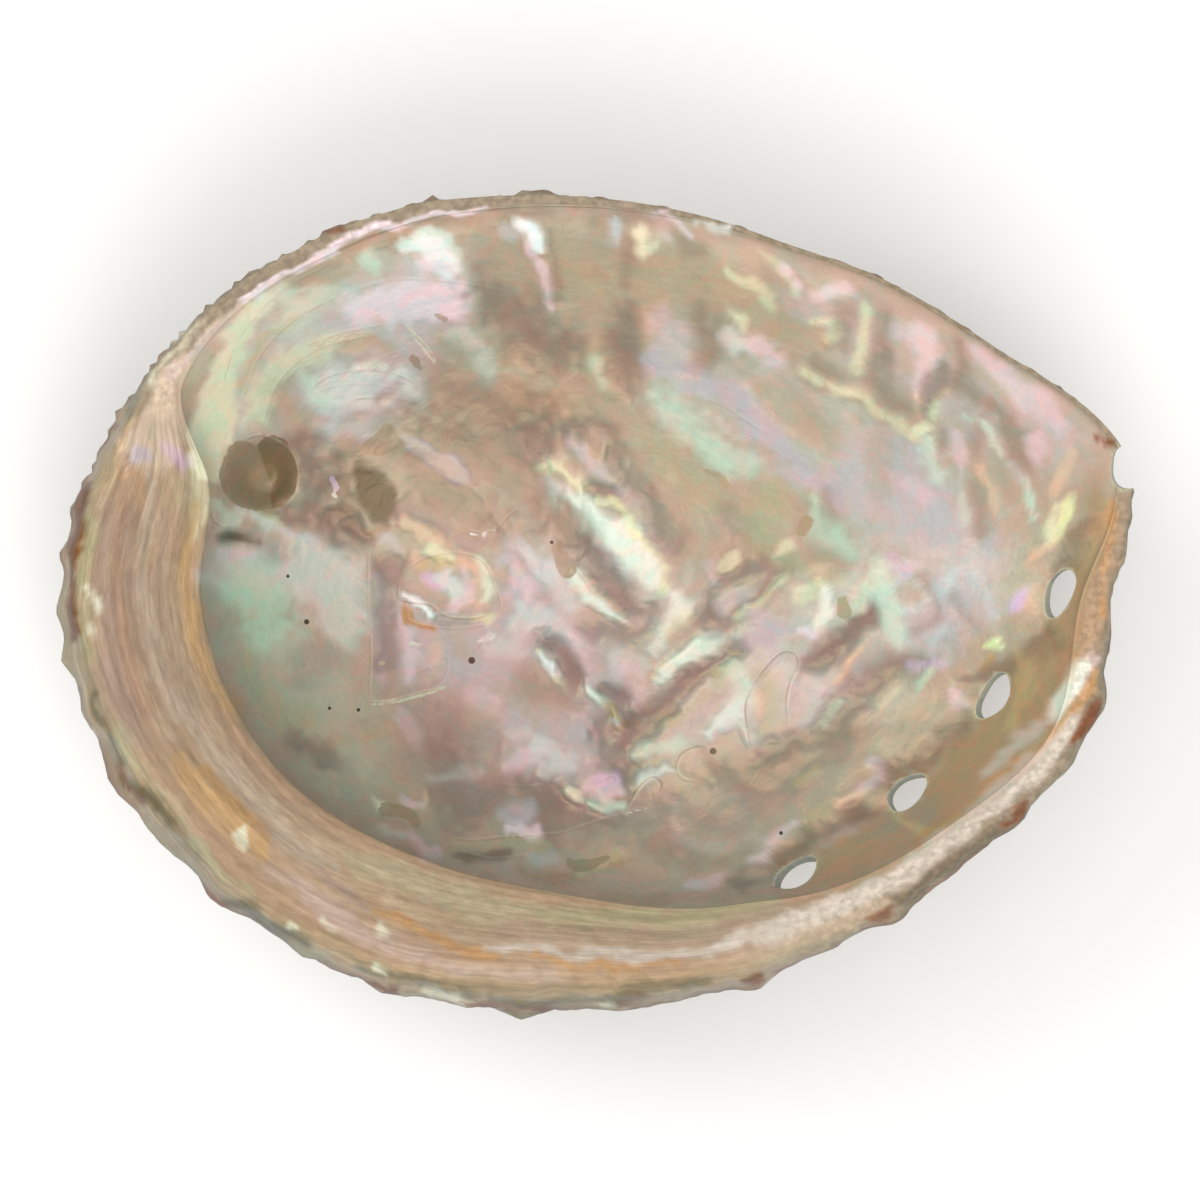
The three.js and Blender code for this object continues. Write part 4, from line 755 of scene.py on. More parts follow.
@dataclass
class Rim:
    """The shell's measures round its rim, and the heights of its bowl and back."""

    # Angle in degrees from the front end towards the outer lip, the outline's radius, the bulge
    # of the back past the crest, the width of the shelf or of the bare lip edge, and the crest's
    # height.
    stations: tuple[tuple[float, ...], ...] = (
        (0, 56.3, 1.0, 2.2, 27.6), (10.5, 59.7, 0.6, 1.4, 27.2), (16.5, 59.0, 0.1, 0.8, 26.8),
        (30, 51.4, 0.0, 0.6, 26.2), (45, 46.4, 0.0, 0.6, 26.0), (60, 42.7, 0.0, 0.7, 26.2),
        (90, 41.2, 0.0, 1.0, 26.6), (120, 44.0, 0.1, 1.8, 26.6), (150, 48.0, 0.9, 2.6, 26.0),
        (162, 49.5, 3.0, 8.4, 25.6), (180, 50.9, 3.2, 10.5, 25.8), (210, 47.7, 3.6, 9.9, 27.0),
        (240, 44.2, 4.4, 9.4, 28.2), (270, 42.1, 5.2, 6.8, 29.0), (300, 44.1, 3.4, 4.8, 29.4),
        (313, 45.9, 2.0, 3.6, 29.3), (330, 50.0, 1.3, 2.8, 29.0), (345, 55.4, 1.1, 2.4, 28.2),
    )
    wall: float = 2.2
    dome_power: float = 2.3
    crown: float = 0.185
    crown_way: float = 242.0
    crown_drop: float = 1.15
    worn: float = 0.4
    columella_power: float = 20.0
    shelf_slope: float = 0.33
    bulge_depth: float = 1.3
    lip_edge: float = 0.8

    def around(self, column: int, angle: np.ndarray) -> np.ndarray:
        """One measure at any angle: a closed curve of cubic pieces through the stations.

        Args:
            column: The measure's place in a station.
            angle: Angles in radians.

        Returns:
            The measure at each angle.
        """
        table = np.array(self.stations)
        knots, values = table[:, 0], table[:, column]
        slopes = (np.roll(values, -1) - np.roll(values, 1)) / ((np.roll(knots, -1) - np.roll(knots, 1)) % 360)
        degrees = np.degrees(angle) % 360
        here = np.searchsorted(knots, degrees, side="right") - 1
        there = (here + 1) % len(knots)
        span = (knots[there] - knots[here]) % 360
        t = (degrees - knots[here]) / span
        rise = values[there] - values[here]
        start, end = slopes[here] * span, slopes[there] * span
        return (values[here] + t * start + t**2 * (3 * rise - 2 * start - end)
                + t**3 * (start + end - 2 * rise))

    def measures(self, angle: np.ndarray) -> dict[str, np.ndarray]:
        """All measures in the given directions.

        Args:
            angle: Angles in radians.

        Returns:
            The outline's radius, the bulge, the shelf's width and its edge, the crest's height,
            the height of the widest line, and where the inside wall meets the shelf.
        """
        radius = self.around(1, angle)
        bulge = np.maximum(0.0, self.around(2, angle))
        shelf = np.maximum(0.5, self.around(3, angle))
        crest = self.around(4, angle)
        nose = 0.09 * shelf
        edge, height = radius - bulge - shelf, crest - 0.2 - self.shelf_slope * shelf
        return {
            "radius": radius, "bulge": bulge, "shelf": shelf, "crest": crest, "nose": nose,
            "edge": edge, "edge_height": height,
            "widest": crest - self.lip_edge - self.bulge_depth * bulge,
            "lean": -self.crown * np.cos(angle - math.radians(self.crown_way)),
            "wall_radius": edge + 0.6 * nose, "wall_height": height - 2.0 * nose,
        }

    def back_height(self, m: dict[str, np.ndarray], r: np.ndarray) -> np.ndarray:
        """Height of the back.

        Args:
            m: The measures in each direction.
            r: Distances from the middle, in mm.

        Returns:
            A power of the reach, leaning so that the crown is off the middle.
        """
        reach = r / m["radius"]
        dome = (m["widest"] - self.crown_drop + self.worn) * reach**self.dome_power
        return dome + m["lean"] * r * (1 - reach**2) + self.crown_drop - self.worn

    def bowl_height(self, m: dict[str, np.ndarray], r: np.ndarray) -> np.ndarray:
        """Height of the inside.

        Args:
            m: The measures in each direction.
            r: Distances from the middle, in mm.

        Returns:
            The back, an even wall on it, and the steep wall under the shelf.
        """

        def even(x: np.ndarray) -> np.ndarray:
            """The back's height plus the wall, measured square to its slope."""
            slope = self.dome_power * m["widest"] * x ** (self.dome_power - 1)
            return self.back_height(m, x) + self.wall * np.hypot(1, slope / m["radius"]**self.dome_power)

        thickening = m["wall_height"] - even(m["wall_radius"])
        return even(r) + thickening * (r / m["wall_radius"]) ** self.columella_power


@dataclass
class Coil:
    """The spiral in which the shell grew, with its row of holes."""

    apex: tuple[float, float] = (-30.8, 13.2)
    row_start: float = 87.0
    row_rate: float = 0.28
    row_tightening: float = 0.118
    first_hole: float = 8.6
    hole_step: float = 8.4
    step_growth: float = 1.12
    open_holes: int = 4
    sealed_holes: int = 8
    suture_start: float = 13.6
    suture_rate: float = 0.35

    def row_point(self, angle: float) -> np.ndarray:
        """The row of holes at an angle in radians round the apex: a spiral that tightens."""
        r = self.row_start * math.exp(-self.row_rate * angle - self.row_tightening * angle * angle)
        return np.array(self.apex) + r * np.array((math.cos(angle), -math.sin(angle)))

    def holes(self) -> list[tuple[np.ndarray, np.ndarray]]:
        """The row of holes.

        Returns:
            Each hole's place and the direction of the row there, youngest first.
        """
        degrees, step, found = self.first_hole, self.hole_step, []
        for _ in range(self.open_holes + self.sealed_holes):
            angle = math.radians(degrees)
            along = self.row_point(angle + 0.02) - self.row_point(angle - 0.02)
            found.append((self.row_point(angle), along / np.linalg.norm(along)))
            degrees, step = degrees + step, step * self.step_growth
        return found

    def swirl(self, x: np.ndarray, y: np.ndarray) -> tuple[np.ndarray, ...]:
        """Where places lie in the spiral.

        Args:
            x: Places along x, in mm.
            y: Places along y, in mm.

        Returns:
            The distance from the apex, the angle wound back from the lip in radians, the place
            across the whorl on a scale where the row of holes is 0, and the distance out from
            the suture as a share of the distance from the apex.
        """
        dx, dy = x - self.apex[0], y - self.apex[1]
        far = np.hypot(dx, dy) + 1e-6
        angle = np.arctan2(-dy, dx)
        turns = np.log(self.suture_start / far) / self.suture_rate - (angle + math.pi)
        whorl = np.maximum(0.0, np.ceil(turns / TURN))
        wound = angle + TURN * whorl
        row = self.row_rate * angle + self.row_tightening * angle * abs(angle)
        across = np.log(far / self.row_start) + row
        suture = self.suture_start * np.exp(-self.suture_rate * (wound + math.pi))
        return far, wound, across, far / suture


@dataclass
class BowlSurface:
    """The folds, dimples, flakes and colours of the inside."""

    coil: Coil
    rim: Rim
    wander: float = 0.5
    contrast: float = 1.32
    trough_softness: float = 1.9
    trough_spread: float = 0.45
    hue_keep: float = 0.95
    trough_from: float = -0.2
    lift: float = 1.15
    long_ripple: float = 0.12
    cross_ripple: float = 0.1
    small_ripple: float = 0.07
    funnel: float = 0.5
    hollow_middle: tuple[float, float] = (-31.2, 13.2)
    fold_spacing: float = 8.8
    fold_depth: float = 0.3
    plate_reach: float = 1.2
    plate_ground: str = "B5A18C"
    hollow: tuple[float, float, float, float] = (4.2, 3.7, 62.0, 2.8)
    seam_reach: float = 1.2

    def warped(self, x: np.ndarray, y: np.ndarray) -> tuple[np.ndarray, np.ndarray]:
        """Places moved about by noise, so that the edges of strokes wander.

        Args:
            x: Places along x, in mm.
            y: Places along y, in mm.

        Returns:
            The moved places.
        """
        along = Ripple(3.5, 11).at(x, y) + 0.5 * Ripple(1.3, 12).at(x, y)
        across = Ripple(3.5, 13).at(x, y) + 0.5 * Ripple(1.3, 14).at(x, y)
        return x + self.wander * along, y + self.wander * across

    def painted(self, x: np.ndarray, y: np.ndarray, ground: np.ndarray) -> tuple[np.ndarray, np.ndarray]:
        """The colour and the height that the strokes give.

        Args:
            x: Places along x, in mm.
            y: Places along y, in mm.
            ground: The linear colour under the strokes, a row for each place.

        Returns:
            The linear colours and the heights in mm. Each stroke covers what lies under it by
            its strength, times a smooth step across its ragged edge, and the lights and darks
            are then drawn away from the ground.
        """
        shape = x.shape
        x, y = self.warped(x.ravel(), y.ravel())
        start = ground.reshape(-1, 3)
        colour, height = start.copy(), np.zeros(x.size)
        ragged = Ripple(0.9, 15).at(x, y) + 0.7 * Ripple(2.1, 16, 20.0, 2.0).at(x, y)
        for name, strength, edge, points in STROKES:
            tint = Tint[name]
            # Tints that lie in troughs, which are partly painted shade, are laid broader and with softer
            # edges.
            trough = tint.rise < self.trough_from
            if trough:
                edge = self.trough_softness * edge
            near, away, _, _ = beyond(x, y, trail(points), edge + self.trough_spread)
            away = away - self.trough_spread * trough
            cover = strength * smooth(away - 0.15 + (0.15 + 0.45 * edge) * ragged[near], edge, -edge)
            colour[near] += (np.array(linear(tint.code)[:3]) - colour[near]) * cover[:, None]
            height[near] += (tint.rise - height[near]) * cover
        change = colour - start
        light = change @ np.array((0.2126, 0.7152, 0.0722))
        extra = (self.contrast - self.hue_keep) * light[:, None]
        colour = np.clip(start + self.hue_keep * change + extra, 0.01, 0.9)
        return colour.reshape(*shape, 3), height.reshape(shape)

    def plates(self, x: np.ndarray, y: np.ndarray) -> tuple[np.ndarray, np.ndarray]:
        """The small crisp pieces.

        Args:
            x: Places along x, in mm.
            y: Places along y, in mm.

        Returns:
            The distance inside the nearest piece, and that piece's linear colour.
        """
        inside = np.full_like(x, -self.plate_reach)
        colour = np.tile(np.array(linear(self.plate_ground)[:3]), (len(x), 1))
        for _, code, points in PLATES:
            near, away, _, _ = beyond(x, y, trail(points), self.plate_reach)
            closer = -away > inside[near]
            inside[near[closer]] = -away[closer]
            colour[near[closer]] = linear(code)[:3]
        return inside, colour

    def seams(self, x: np.ndarray, y: np.ndarray) -> tuple[np.ndarray, ...]:
        """The nearest seam at each place.

        Args:
            x: Places along x, in mm.
            y: Places along y, in mm.

        Returns:
            The signed distance to it, its strength fading out at the ends and with distance, and
            the height of the step there.
        """
        shape = x.shape
        x, y = x.ravel(), y.ravel()
        best = np.full_like(x, self.seam_reach)
        side, weight, step = np.full_like(x, 9.0), np.zeros_like(x), np.zeros_like(x)
        for seam in SEAMS:
            path = np.pad(trail(seam.points), ((0, 0), (0, 1)))
            near, away, hand, share = beyond(x, y, path, self.seam_reach)
            ends = smooth(share, 0.0, 0.12) * smooth(share, 1.0, 0.88)
            closer = away < best[near]
            pick = near[closer]
            best[pick] = away[closer]
            side[pick] = (hand * away)[closer]
            weight[pick] = (seam.strength * ends * smooth(away, self.seam_reach, 0.5))[closer]
            step[pick] = seam.step
        return side.reshape(shape), weight.reshape(shape), step.reshape(shape)

    def folds(self, x: np.ndarray, y: np.ndarray) -> np.ndarray:
        """Growth folds that run in from the outer lip.

        Args:
            x: Places along x, in mm.
            y: Places along y, in mm.

        Returns:
            Their height in mm: cosine waves across the lip that die out inwards.
        """
        angle = np.arctan2(y, x)
        share = np.hypot(x, y) / self.rim.around(1, angle)
        where = smooth(angle, 0.15, 0.6) * smooth(angle, 2.3, 1.8)
        wave = np.cos(TURN * (x + 0.15 * (y - 30) + 0.8) / self.fold_spacing)
        return self.fold_depth * wave * where * smooth(share, 0.5, 0.8) * smooth(share, 1.0, 0.93)

    def relief(self, x: np.ndarray, y: np.ndarray) -> np.ndarray:
        """Height of the folds, flakes and dimples above the plain bowl, in mm.

        Args:
            x: Places along x, in mm.
            y: Places along y, in mm.

        Returns:
            The height: the strokes' folds, crossing ripples in the middle, the lip's folds, the
            steps at seams and shallow funnels round the holes.
        """
        share = np.hypot(x, y) / self.rim.measures(np.arctan2(y, x))["edge"]
        inner = smooth(share, 0.97, 0.8)
        lively = inner * smooth(x, -24.0, -12.0)
        _, height = self.painted(x, y, np.zeros((*x.shape, 3)))
        height = self.lift * height * inner
        height = height + lively * self.long_ripple * Ripple(2.6, 21, -42.0, 2.6).at(x, y)
        crossing = lively * smooth(x, -5.0, 8.0)
        height = height + crossing * self.cross_ripple * Ripple(2.4, 22, 38.0, 2.8).at(x, y)
        height = height + (0.4 + 0.6 * lively) * self.small_ripple * Ripple(1.5, 23).at(x, y)
        side, weight, step = self.seams(x, y)
        raised = smooth(side, -0.2, 0.2) * smooth(abs(side), self.seam_reach, 0.2)
        height = height + 0.5 * step * weight * raised
        for place, _ in self.coil.holes()[: self.coil.open_holes]:
            height = height - self.funnel * np.exp(-((x - place[0]) ** 2 + (y - place[1]) ** 2) / 9.0)
        return height + self.folds(x, y)

    def hollow_drop(self, x: np.ndarray, y: np.ndarray) -> np.ndarray:
        """How far the floor drops into the spire.

        Args:
            x: Places along x, in mm.
            y: Places along y, in mm.

        Returns:
            The drop in mm: a smooth step over the distance from the middle of a turned oval.
        """
        long, wide, turn, depth = self.hollow
        c, s = math.cos(math.radians(turn)), math.sin(math.radians(turn))
        dx, dy = x - self.hollow_middle[0], y - self.hollow_middle[1]
        away = np.hypot((dx * c + dy * s) / long, (-dx * s + dy * c) / wide)
        return depth * smooth(away, 1.08, 0.3)


@dataclass
class BackSurface:
    """The ribs, cords, closed holes, spire and crust of the outside."""

    coil: Coil
    spire_height: float = 3.2
    spire_width: float = 8.0
    mound_height: float = 1.0
    mound_width: float = 3.6
    crater: float = 0.9
    crater_rim: float = 0.45
    rib_height: float = 0.28
    cord_height: float = 0.22
    knot_height: float = 0.35
    roughness: float = 0.1
    knob_spread: float = 2.6
    knob_sink: float = 0.25
    cord_spacing: float = 0.075
    growth_spacing: float = 0.115
    nodules: tuple[tuple[float, float], ...] = (
        (34, 0.3), (48, 0.3), (93.5, 0.9), (108.6, 0.5), (121, 0.7), (134, 0.4), (158, 0.5), (163, 0.7),
        (168, 0.9), (174, 0.7), (181, 0.9), (187, 0.5), (193.6, 0.8), (203.4, 0.9), (211, 0.5),
        (220.6, 0.9),
        (233, 0.5), (246, 0.9), (256, 0.4), (264.6, 0.9), (279, 0.4), (297, 0.9), (308, 0.4), (316, 0.8),
        (325, 0.4), (334, 1.0), (342, 0.4), (349.5, 1.1), (357, 0.5), (4, 0.5),
    )

    def relief(self, x: np.ndarray, y: np.ndarray) -> np.ndarray:
        """How far the back stands out of its plain dome, in mm.

        Args:
            x: Places along x, in mm.
            y: Places along y, in mm.

        Returns:
            The spire, mounds with craters along the row of holes, growth ribs that cross spiral
            cords, the suture's groove and a fine rough crust.
        """
        far, wound, across, out = self.coil.swirl(x, y)
        height = self.spire_height * np.exp(-(far / self.spire_width) ** 2)
        for place, _ in self.coil.holes():
            away = np.hypot(x - place[0], y - place[1])
            height = height + self.mound_height * np.exp(-(away / self.mound_width) ** 2)
            height = height + self.crater_rim * np.exp(-(((away - 2.6) / 0.7) ** 2))
            height = height - self.crater * np.exp(-(away / 1.6) ** 2)
        body = smooth(far, 4.0, 16.0)
        warp = 0.035 * Ripple(7.0, 31).at(x, y)
        growth = wound + 0.55 * np.log(far / 20.0) + warp
        ribs = 1.0 - abs(np.sin(math.pi * growth / self.growth_spacing))
        cords = 0.5 + 0.5 * np.cos(TURN * (across + warp) / self.cord_spacing)
        rough = Ripple(1.1, 33).at(x, y) + 0.6 * Ripple(0.6, 34).at(x, y)
        crossed = self.rib_height * ribs + self.cord_height * cords + self.knot_height * ribs * cords
        height = height + body * (crossed + self.roughness * rough)
        height = height + 0.35 * Ripple(9.0, 32).at(x, y) * body
        return height - 0.8 * np.exp(-(((out - 1.0) * far / 0.7) ** 2)) * smooth(far, 0.6, 2.0)

    def outline(self, angle: np.ndarray) -> np.ndarray:
        """Knobs where cords and ribs end at the edge.

        Args:
            angle: Angles in radians.

        Returns:
            How far they stand out in mm: a sum of bells over the angle.
        """
        degrees = np.degrees(angle) % 360
        total = np.zeros_like(angle)
        for place, height in self.nodules:
            away = (degrees - place + 180.0) % 360.0 - 180.0
            total += height * np.exp(-((away / self.knob_spread) ** 2))
        return total - self.knob_sink

    def colours(self, x: np.ndarray, y: np.ndarray) -> np.ndarray:
        """The back's stains.

        Args:
            x: Places along x, in mm.
            y: Places along y, in mm.

        Returns:
            Strength of rust, lichen green, chalk and the darkening along the suture's groove, as four
            columns.
        """
        far, wound, _, out = self.coil.swirl(x, y)
        growth = wound + 0.55 * np.log(far / 20.0) + 0.06 * Ripple(6.0, 41).at(x, y)
        flame = 0.5 + 0.5 * np.sin(TURN * growth / 0.42 + 2.2 * Ripple(5.0, 42).at(x, y))
        rust = smooth(flame, 0.35, 0.8)
        lichen = smooth(Ripple(6.0, 43).at(x, y) + 0.6 * Ripple(2.0, 44).at(x, y), 0.0, 0.7)
        chalk = smooth(Ripple(4.0, 45).at(x, y) + 0.6 * Ripple(1.3, 46).at(x, y), 0.35, 0.9)
        suture_darkening = np.exp(-(((out - 1.0) * far / 1.0) ** 2))
        return np.stack([rust, lichen, chalk, suture_darkening], axis=-1)


@dataclass
class Shell:
    """Builds the shell's mesh and its surface attributes."""

    rim: Rim
    coil: Coil
    bowl: BowlSurface
    back: BackSurface
    slices: int = 472
    rings: tuple[int, int, int, int, int] = (112, 8, 27, 15, 45)
    crowding: float = 0.85
    hole_long: float = 2.5
    hole_wide: float = 1.55
    hole_lean: float = 0.25
    rod_sides: int = 40
    rod_reach: float = 20.0
    notch: tuple[float, float, float, float] = (58.4, 13.6, 25.0, 2.1)
    sharp_edge: float = 55.0
    ground: str = "B5A18C"
    horn: str = "B09376"
    crust: str = "92836F"

    def shift(self) -> np.ndarray:
        """The step from the middle of the bowl to the frame's origin.

        Returns:
            The step in mm, which makes the outline's box share its middle with the frame's.
        """
        angle = np.linspace(0.0, TURN, 720, endpoint=False)
        radius = self.rim.measures(angle)["radius"]
        x, y = radius * np.cos(angle), radius * np.sin(angle)
        low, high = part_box("shell")
        middle = (np.array(low[:2]) + np.array(high[:2])) / 2 / MM
        return middle - np.array(((x.min() + x.max()) / 2, (y.min() + y.max()) / 2))

    def section(self, angle: np.ndarray) -> tuple[np.ndarray, np.ndarray, np.ndarray]:
        """The plain section in each direction.

        Args:
            angle: The slices' angles, as a column.

        Returns:
            Radius and height for each slice and ring, and how far along the section each ring
            is: 0 to 1 in the bowl, to 1.2 round the shelf's edge, to 2 across the shelf, to 2.6
            over the crest and to 4 along the back.
        """
        m = self.rim.measures(angle)
        bowl, nose, shelf, crest, back = (np.arange(1, count + 1) / count for count in self.rings)
        r_bowl = m["wall_radius"] * bowl**self.crowding
        turn = math.pi * nose
        r_nose = m["edge"] + 0.6 * m["nose"] * np.cos(turn / 2) - 0.8 * m["nose"] * np.sin(turn)
        r_shelf = m["edge"] + shelf * m["shelf"]
        quarter = math.pi / 2 * crest
        r_crest = m["radius"] - m["bulge"] * (1 - np.sin(quarter))
        back = back[::-1][1:]
        r_back = m["radius"] * back**self.crowding
        radius = np.concatenate([r_bowl, r_nose, r_shelf, r_crest, r_back], axis=1)
        height = np.concatenate([
            self.rim.bowl_height(m, r_bowl),
            m["edge_height"] - m["nose"] * (1 + np.cos(turn)),
            m["crest"] - (m["crest"] - m["edge_height"]) * (1 - shelf) ** 1.3,
            m["widest"] + (m["crest"] - m["widest"]) * np.cos(quarter),
            self.rim.back_height(m, r_back),
        ], axis=1)
        along = np.concatenate([bowl, 1 + 0.2 * nose, 1.2 + 0.8 * shelf, 2 + 0.6 * crest, 4 - 1.4 * back])
        return radius, height, along

    def net(self) -> tuple[np.ndarray, np.ndarray, np.ndarray]:
        """All points of the shell, with their relief, before it is pierced.

        Returns:
            Points by slice and ring, how far along the section each is, and its angle. Each
            point is the plain one moved along the surface's normal, which is the cross product
            of the differences between neighbours.
        """
        angle = (np.arange(self.slices) * TURN / self.slices)[:, None]
        radius, height, along = self.section(angle)
        along = np.broadcast_to(along, radius.shape)
        plain = np.stack([radius * np.cos(angle), radius * np.sin(angle), height], axis=-1)
        across = np.roll(plain, -1, axis=0) - np.roll(plain, 1, axis=0)
        normal = np.cross(np.gradient(plain, axis=1), across)
        normal /= np.linalg.norm(normal, axis=-1, keepdims=True) + 1e-9
        x, y = plain[..., 0], plain[..., 1]

        in_bowl = smooth(along, 1.08, 0.98)
        relief = self.bowl.relief(x, y) * in_bowl
        on_back = smooth(along, 2.35, 2.7)
        relief = relief + self.back.relief(x, y) * on_back
        m = self.rim.measures(angle)
        on_shelf = smooth(along, 1.15, 1.3) * smooth(along, 2.7, 2.2)
        flow = Ripple(2.2, 51).at(angle * 30, along * 14) + 0.5 * Ripple(0.9, 52).at(angle * 40, along * 22)
        grit = Ripple(0.8, 53).at(x, y)
        relief = relief + on_shelf * np.minimum(1.0, m["shelf"] / 6) * (0.1 * flow + 0.04 * grit)
        crusty = smooth(along, 1.85, 2.05) * smooth(along, 2.9, 2.4)
        relief = relief + crusty * 0.12 * (grit + Ripple(1.7, 54).at(x, y))

        points = plain + normal * relief[..., None]
        outwards = np.concatenate([np.cos(angle), np.sin(angle)], axis=1)[:, None, :]
        knobs = smooth(along, 1.9, 2.6) * smooth(along, 3.15, 2.7)
        lumps = self.back.outline(angle) * (0.8 + 0.4 * Ripple(2.0, 55).at(angle * 45, along * 8))
        points[..., :2] += outwards * (lumps * knobs)[..., None]
        points[..., 2] -= self.bowl.hollow_drop(x, y) * (along < 1.0)
        points[..., 2] = np.where(on_back > 0, np.maximum(points[..., 2], 0.0), points[..., 2])
        return points, along, np.broadcast_to(angle, radius.shape)

    def blank(self) -> bpy.types.Object:
        """The shell before it is pierced.

        Returns:
            An object whose points know how far along the section they are.
        """
        points, along, _ = self.net()
        slices, rings = along.shape
        poles = [[0.0, 0.0, points[:, ring, 2].mean()] for ring in (0, -1)]
        places = np.concatenate([points.reshape(-1, 3), poles])
        here = np.arange(slices)[:, None] * rings + np.arange(rings - 1)
        there = np.roll(np.arange(slices), -1)[:, None] * rings + np.arange(rings - 1)
        quads = np.stack([here, here + 1, there + 1, there], axis=-1).reshape(-1, 4)
        first, follow = np.arange(slices) * rings, np.roll(np.arange(slices), -1) * rings
        inside = np.stack([np.full(slices, slices * rings), first, follow], axis=-1)
        top = np.full(slices, slices * rings + 1)
        outside = np.stack([first + rings - 1, top, follow + rings - 1], axis=-1)
        mesh = bpy.data.meshes.new("shell_blank")
        mesh.from_pydata(places.tolist(), [], quads.tolist() + inside.tolist() + outside.tolist())
        attribute = mesh.attributes.new("along", "FLOAT", "POINT")
        marks = np.concatenate([along.ravel() + 1, [1.0, 5.0]])
        attribute.data.foreach_set("value", marks.astype(np.float32))
        blank = bpy.data.objects.new("shell_blank", mesh)
        bpy.context.collection.objects.link(blank)
        return blank

    def cutter(self) -> bpy.types.Object:
        """The holes and the notch as rods.

        Returns:
            One object of oval rods that lean outwards from the bowl.
        """
        verts, faces = [], []
        spots = [(place, along, self.hole_long, self.hole_wide, None)
                 for place, along in self.coil.holes()[: self.coil.open_holes]]
        x, y, z, r = self.notch
        spots.append((np.array((x, y)), np.array((-y, x)) / math.hypot(x, y), r, r, z))
        size = self.rod_sides
        for place, along, long, wide, height in spots:
            angle = np.array([math.atan2(place[1], place[0])])
            measures = self.rim.measures(angle)
            floor = self.rim.bowl_height(measures, np.array([np.hypot(*place)]))[0] - 2
            centre = np.array((*place, floor if height is None else height))
            out = np.array((*place, 0.0)) / np.hypot(*place)
            axis = np.array((0.0, 0.0, math.cos(self.hole_lean))) - out * math.sin(self.hole_lean)
            length = np.array((*along, 0.0))
            length -= axis * length.dot(axis)
            length /= np.linalg.norm(length)
            side = np.cross(axis, length)
            turn = np.linspace(0.0, TURN, size, endpoint=False)[:, None]
            wobble = 1.0 + 0.06 * np.sin(2 * turn + place[0]) + 0.05 * np.sin(3 * turn + place[1])
            ring = (length * long * np.cos(turn) + side * wide * np.sin(turn)) * wobble
            start = len(verts)
            for end in (-self.rod_reach, self.rod_reach):
                verts += [tuple(point) for point in centre + axis * end + ring]
            faces += [(start + i, start + (i + 1) % size, start + size + (i + 1) % size, start + size + i)
                      for i in range(size)]
            faces.append(tuple(range(start + size - 1, start - 1, -1)))
            faces.append(tuple(range(start + size, start + 2 * size)))
        mesh = bpy.data.meshes.new("hole_rods")
        mesh.from_pydata(verts, [], faces)
        rods = bpy.data.objects.new("hole_rods", mesh)
        bpy.context.collection.objects.link(rods)
        return rods

    def pierced(self) -> tuple[bpy.types.Mesh, np.ndarray, np.ndarray]:
        """The shell with its holes.

        Returns:
            The mesh, its points in mm, and how far along the section each is. Points that the
            cut made take that from the nearest older point, less 10 to mark them.
        """
        blank, rods = self.blank(), self.cutter()
        cut = blank.modifiers.new("holes", "BOOLEAN")
        cut.operation, cut.solver, cut.object = "DIFFERENCE", "EXACT", rods
        graph = bpy.context.evaluated_depsgraph_get()
        mesh = bpy.data.meshes.new_from_object(blank.evaluated_get(graph))
        for helper in (blank, rods):
            bpy.data.objects.remove(helper)
        count = len(mesh.vertices)
        places = np.empty(count * 3, np.float32)
        mesh.vertices.foreach_get("co", places)
        places = places.reshape(-1, 3).astype(float)
        along = np.empty(count, np.float32)
        mesh.attributes["along"].data.foreach_get("value", along)
        along = along.astype(float) - 1
        old = np.flatnonzero(along >= 0)
        tree = KDTree(len(old))
        for index in old:
            tree.insert(places[index], index)
        tree.balance()
        for index in np.flatnonzero(along < 0):
            along[index] = along[tree.find(places[index])[1]] - 10
        return mesh, places, along

    def paint(self, mesh: bpy.types.Mesh, places: np.ndarray, along: np.ndarray) -> None:
        """Writes the surface attributes that the finish reads.

        Args:
            mesh: The shell's mesh.
            places: Its points in mm.
            along: How far along the section each point is.
        """
        x, y = places[:, 0], places[:, 1]
        fresh = along < -1
        along = np.where(fresh, along + 10, along)
        angle = np.arctan2(y, x)
        m = self.rim.measures(angle)
        ledge = smooth(m["shelf"], 3.0, 6.0) * smooth(along, 1.0, 1.12)
        lip = smooth(m["shelf"], 6.0, 3.0) * smooth(along, 1.25, 1.5)
        on_back = smooth(along, 2.3, 2.7)
        self.write(mesh, "regions", np.stack([ledge, lip, on_back, fresh.astype(float)], axis=-1))
        ground = np.tile(np.array(linear(self.ground)[:3]), (len(x), 1))
        for share, code in ((ledge, self.horn), (lip, self.crust)):
            ground += (np.array(linear(code)[:3]) - ground) * share[:, None]
        colour, _ = self.bowl.painted(x, y, ground)
        self.write(mesh, "paint", np.pad(colour, ((0, 0), (0, 1)), constant_values=1.0))
        inside, plate = self.bowl.plates(x, y)
        self.write(mesh, "plate", np.concatenate([plate, inside[:, None]], axis=1))
        self.write(mesh, "back_tints", self.back.colours(x, y))
        reach = np.hypot(x, y) / m["radius"]
        # How far the floor drops into the spire. The finish darkens it there with the hollow's brown and
        # painted shade.
        hollow = smooth(self.bowl.hollow_drop(x, y), 1.0, 3.6) * (along < 1.0)
        side, weight, _ = self.bowl.seams(x, y)
        weight = weight * smooth(along, 1.3, 1.1)
        self.write(mesh, "seam", np.stack([side, weight, hollow, np.zeros_like(x)], axis=-1))
        way = np.where(along < 1, reach * 46, along * 12)
        flow = np.stack([np.cos(angle) * 7, np.sin(angle) * 7, way], axis=-1)
        attribute = mesh.attributes.new("flow", "FLOAT_VECTOR", "POINT")
        attribute.data.foreach_set("vector", flow.astype(np.float32).ravel())

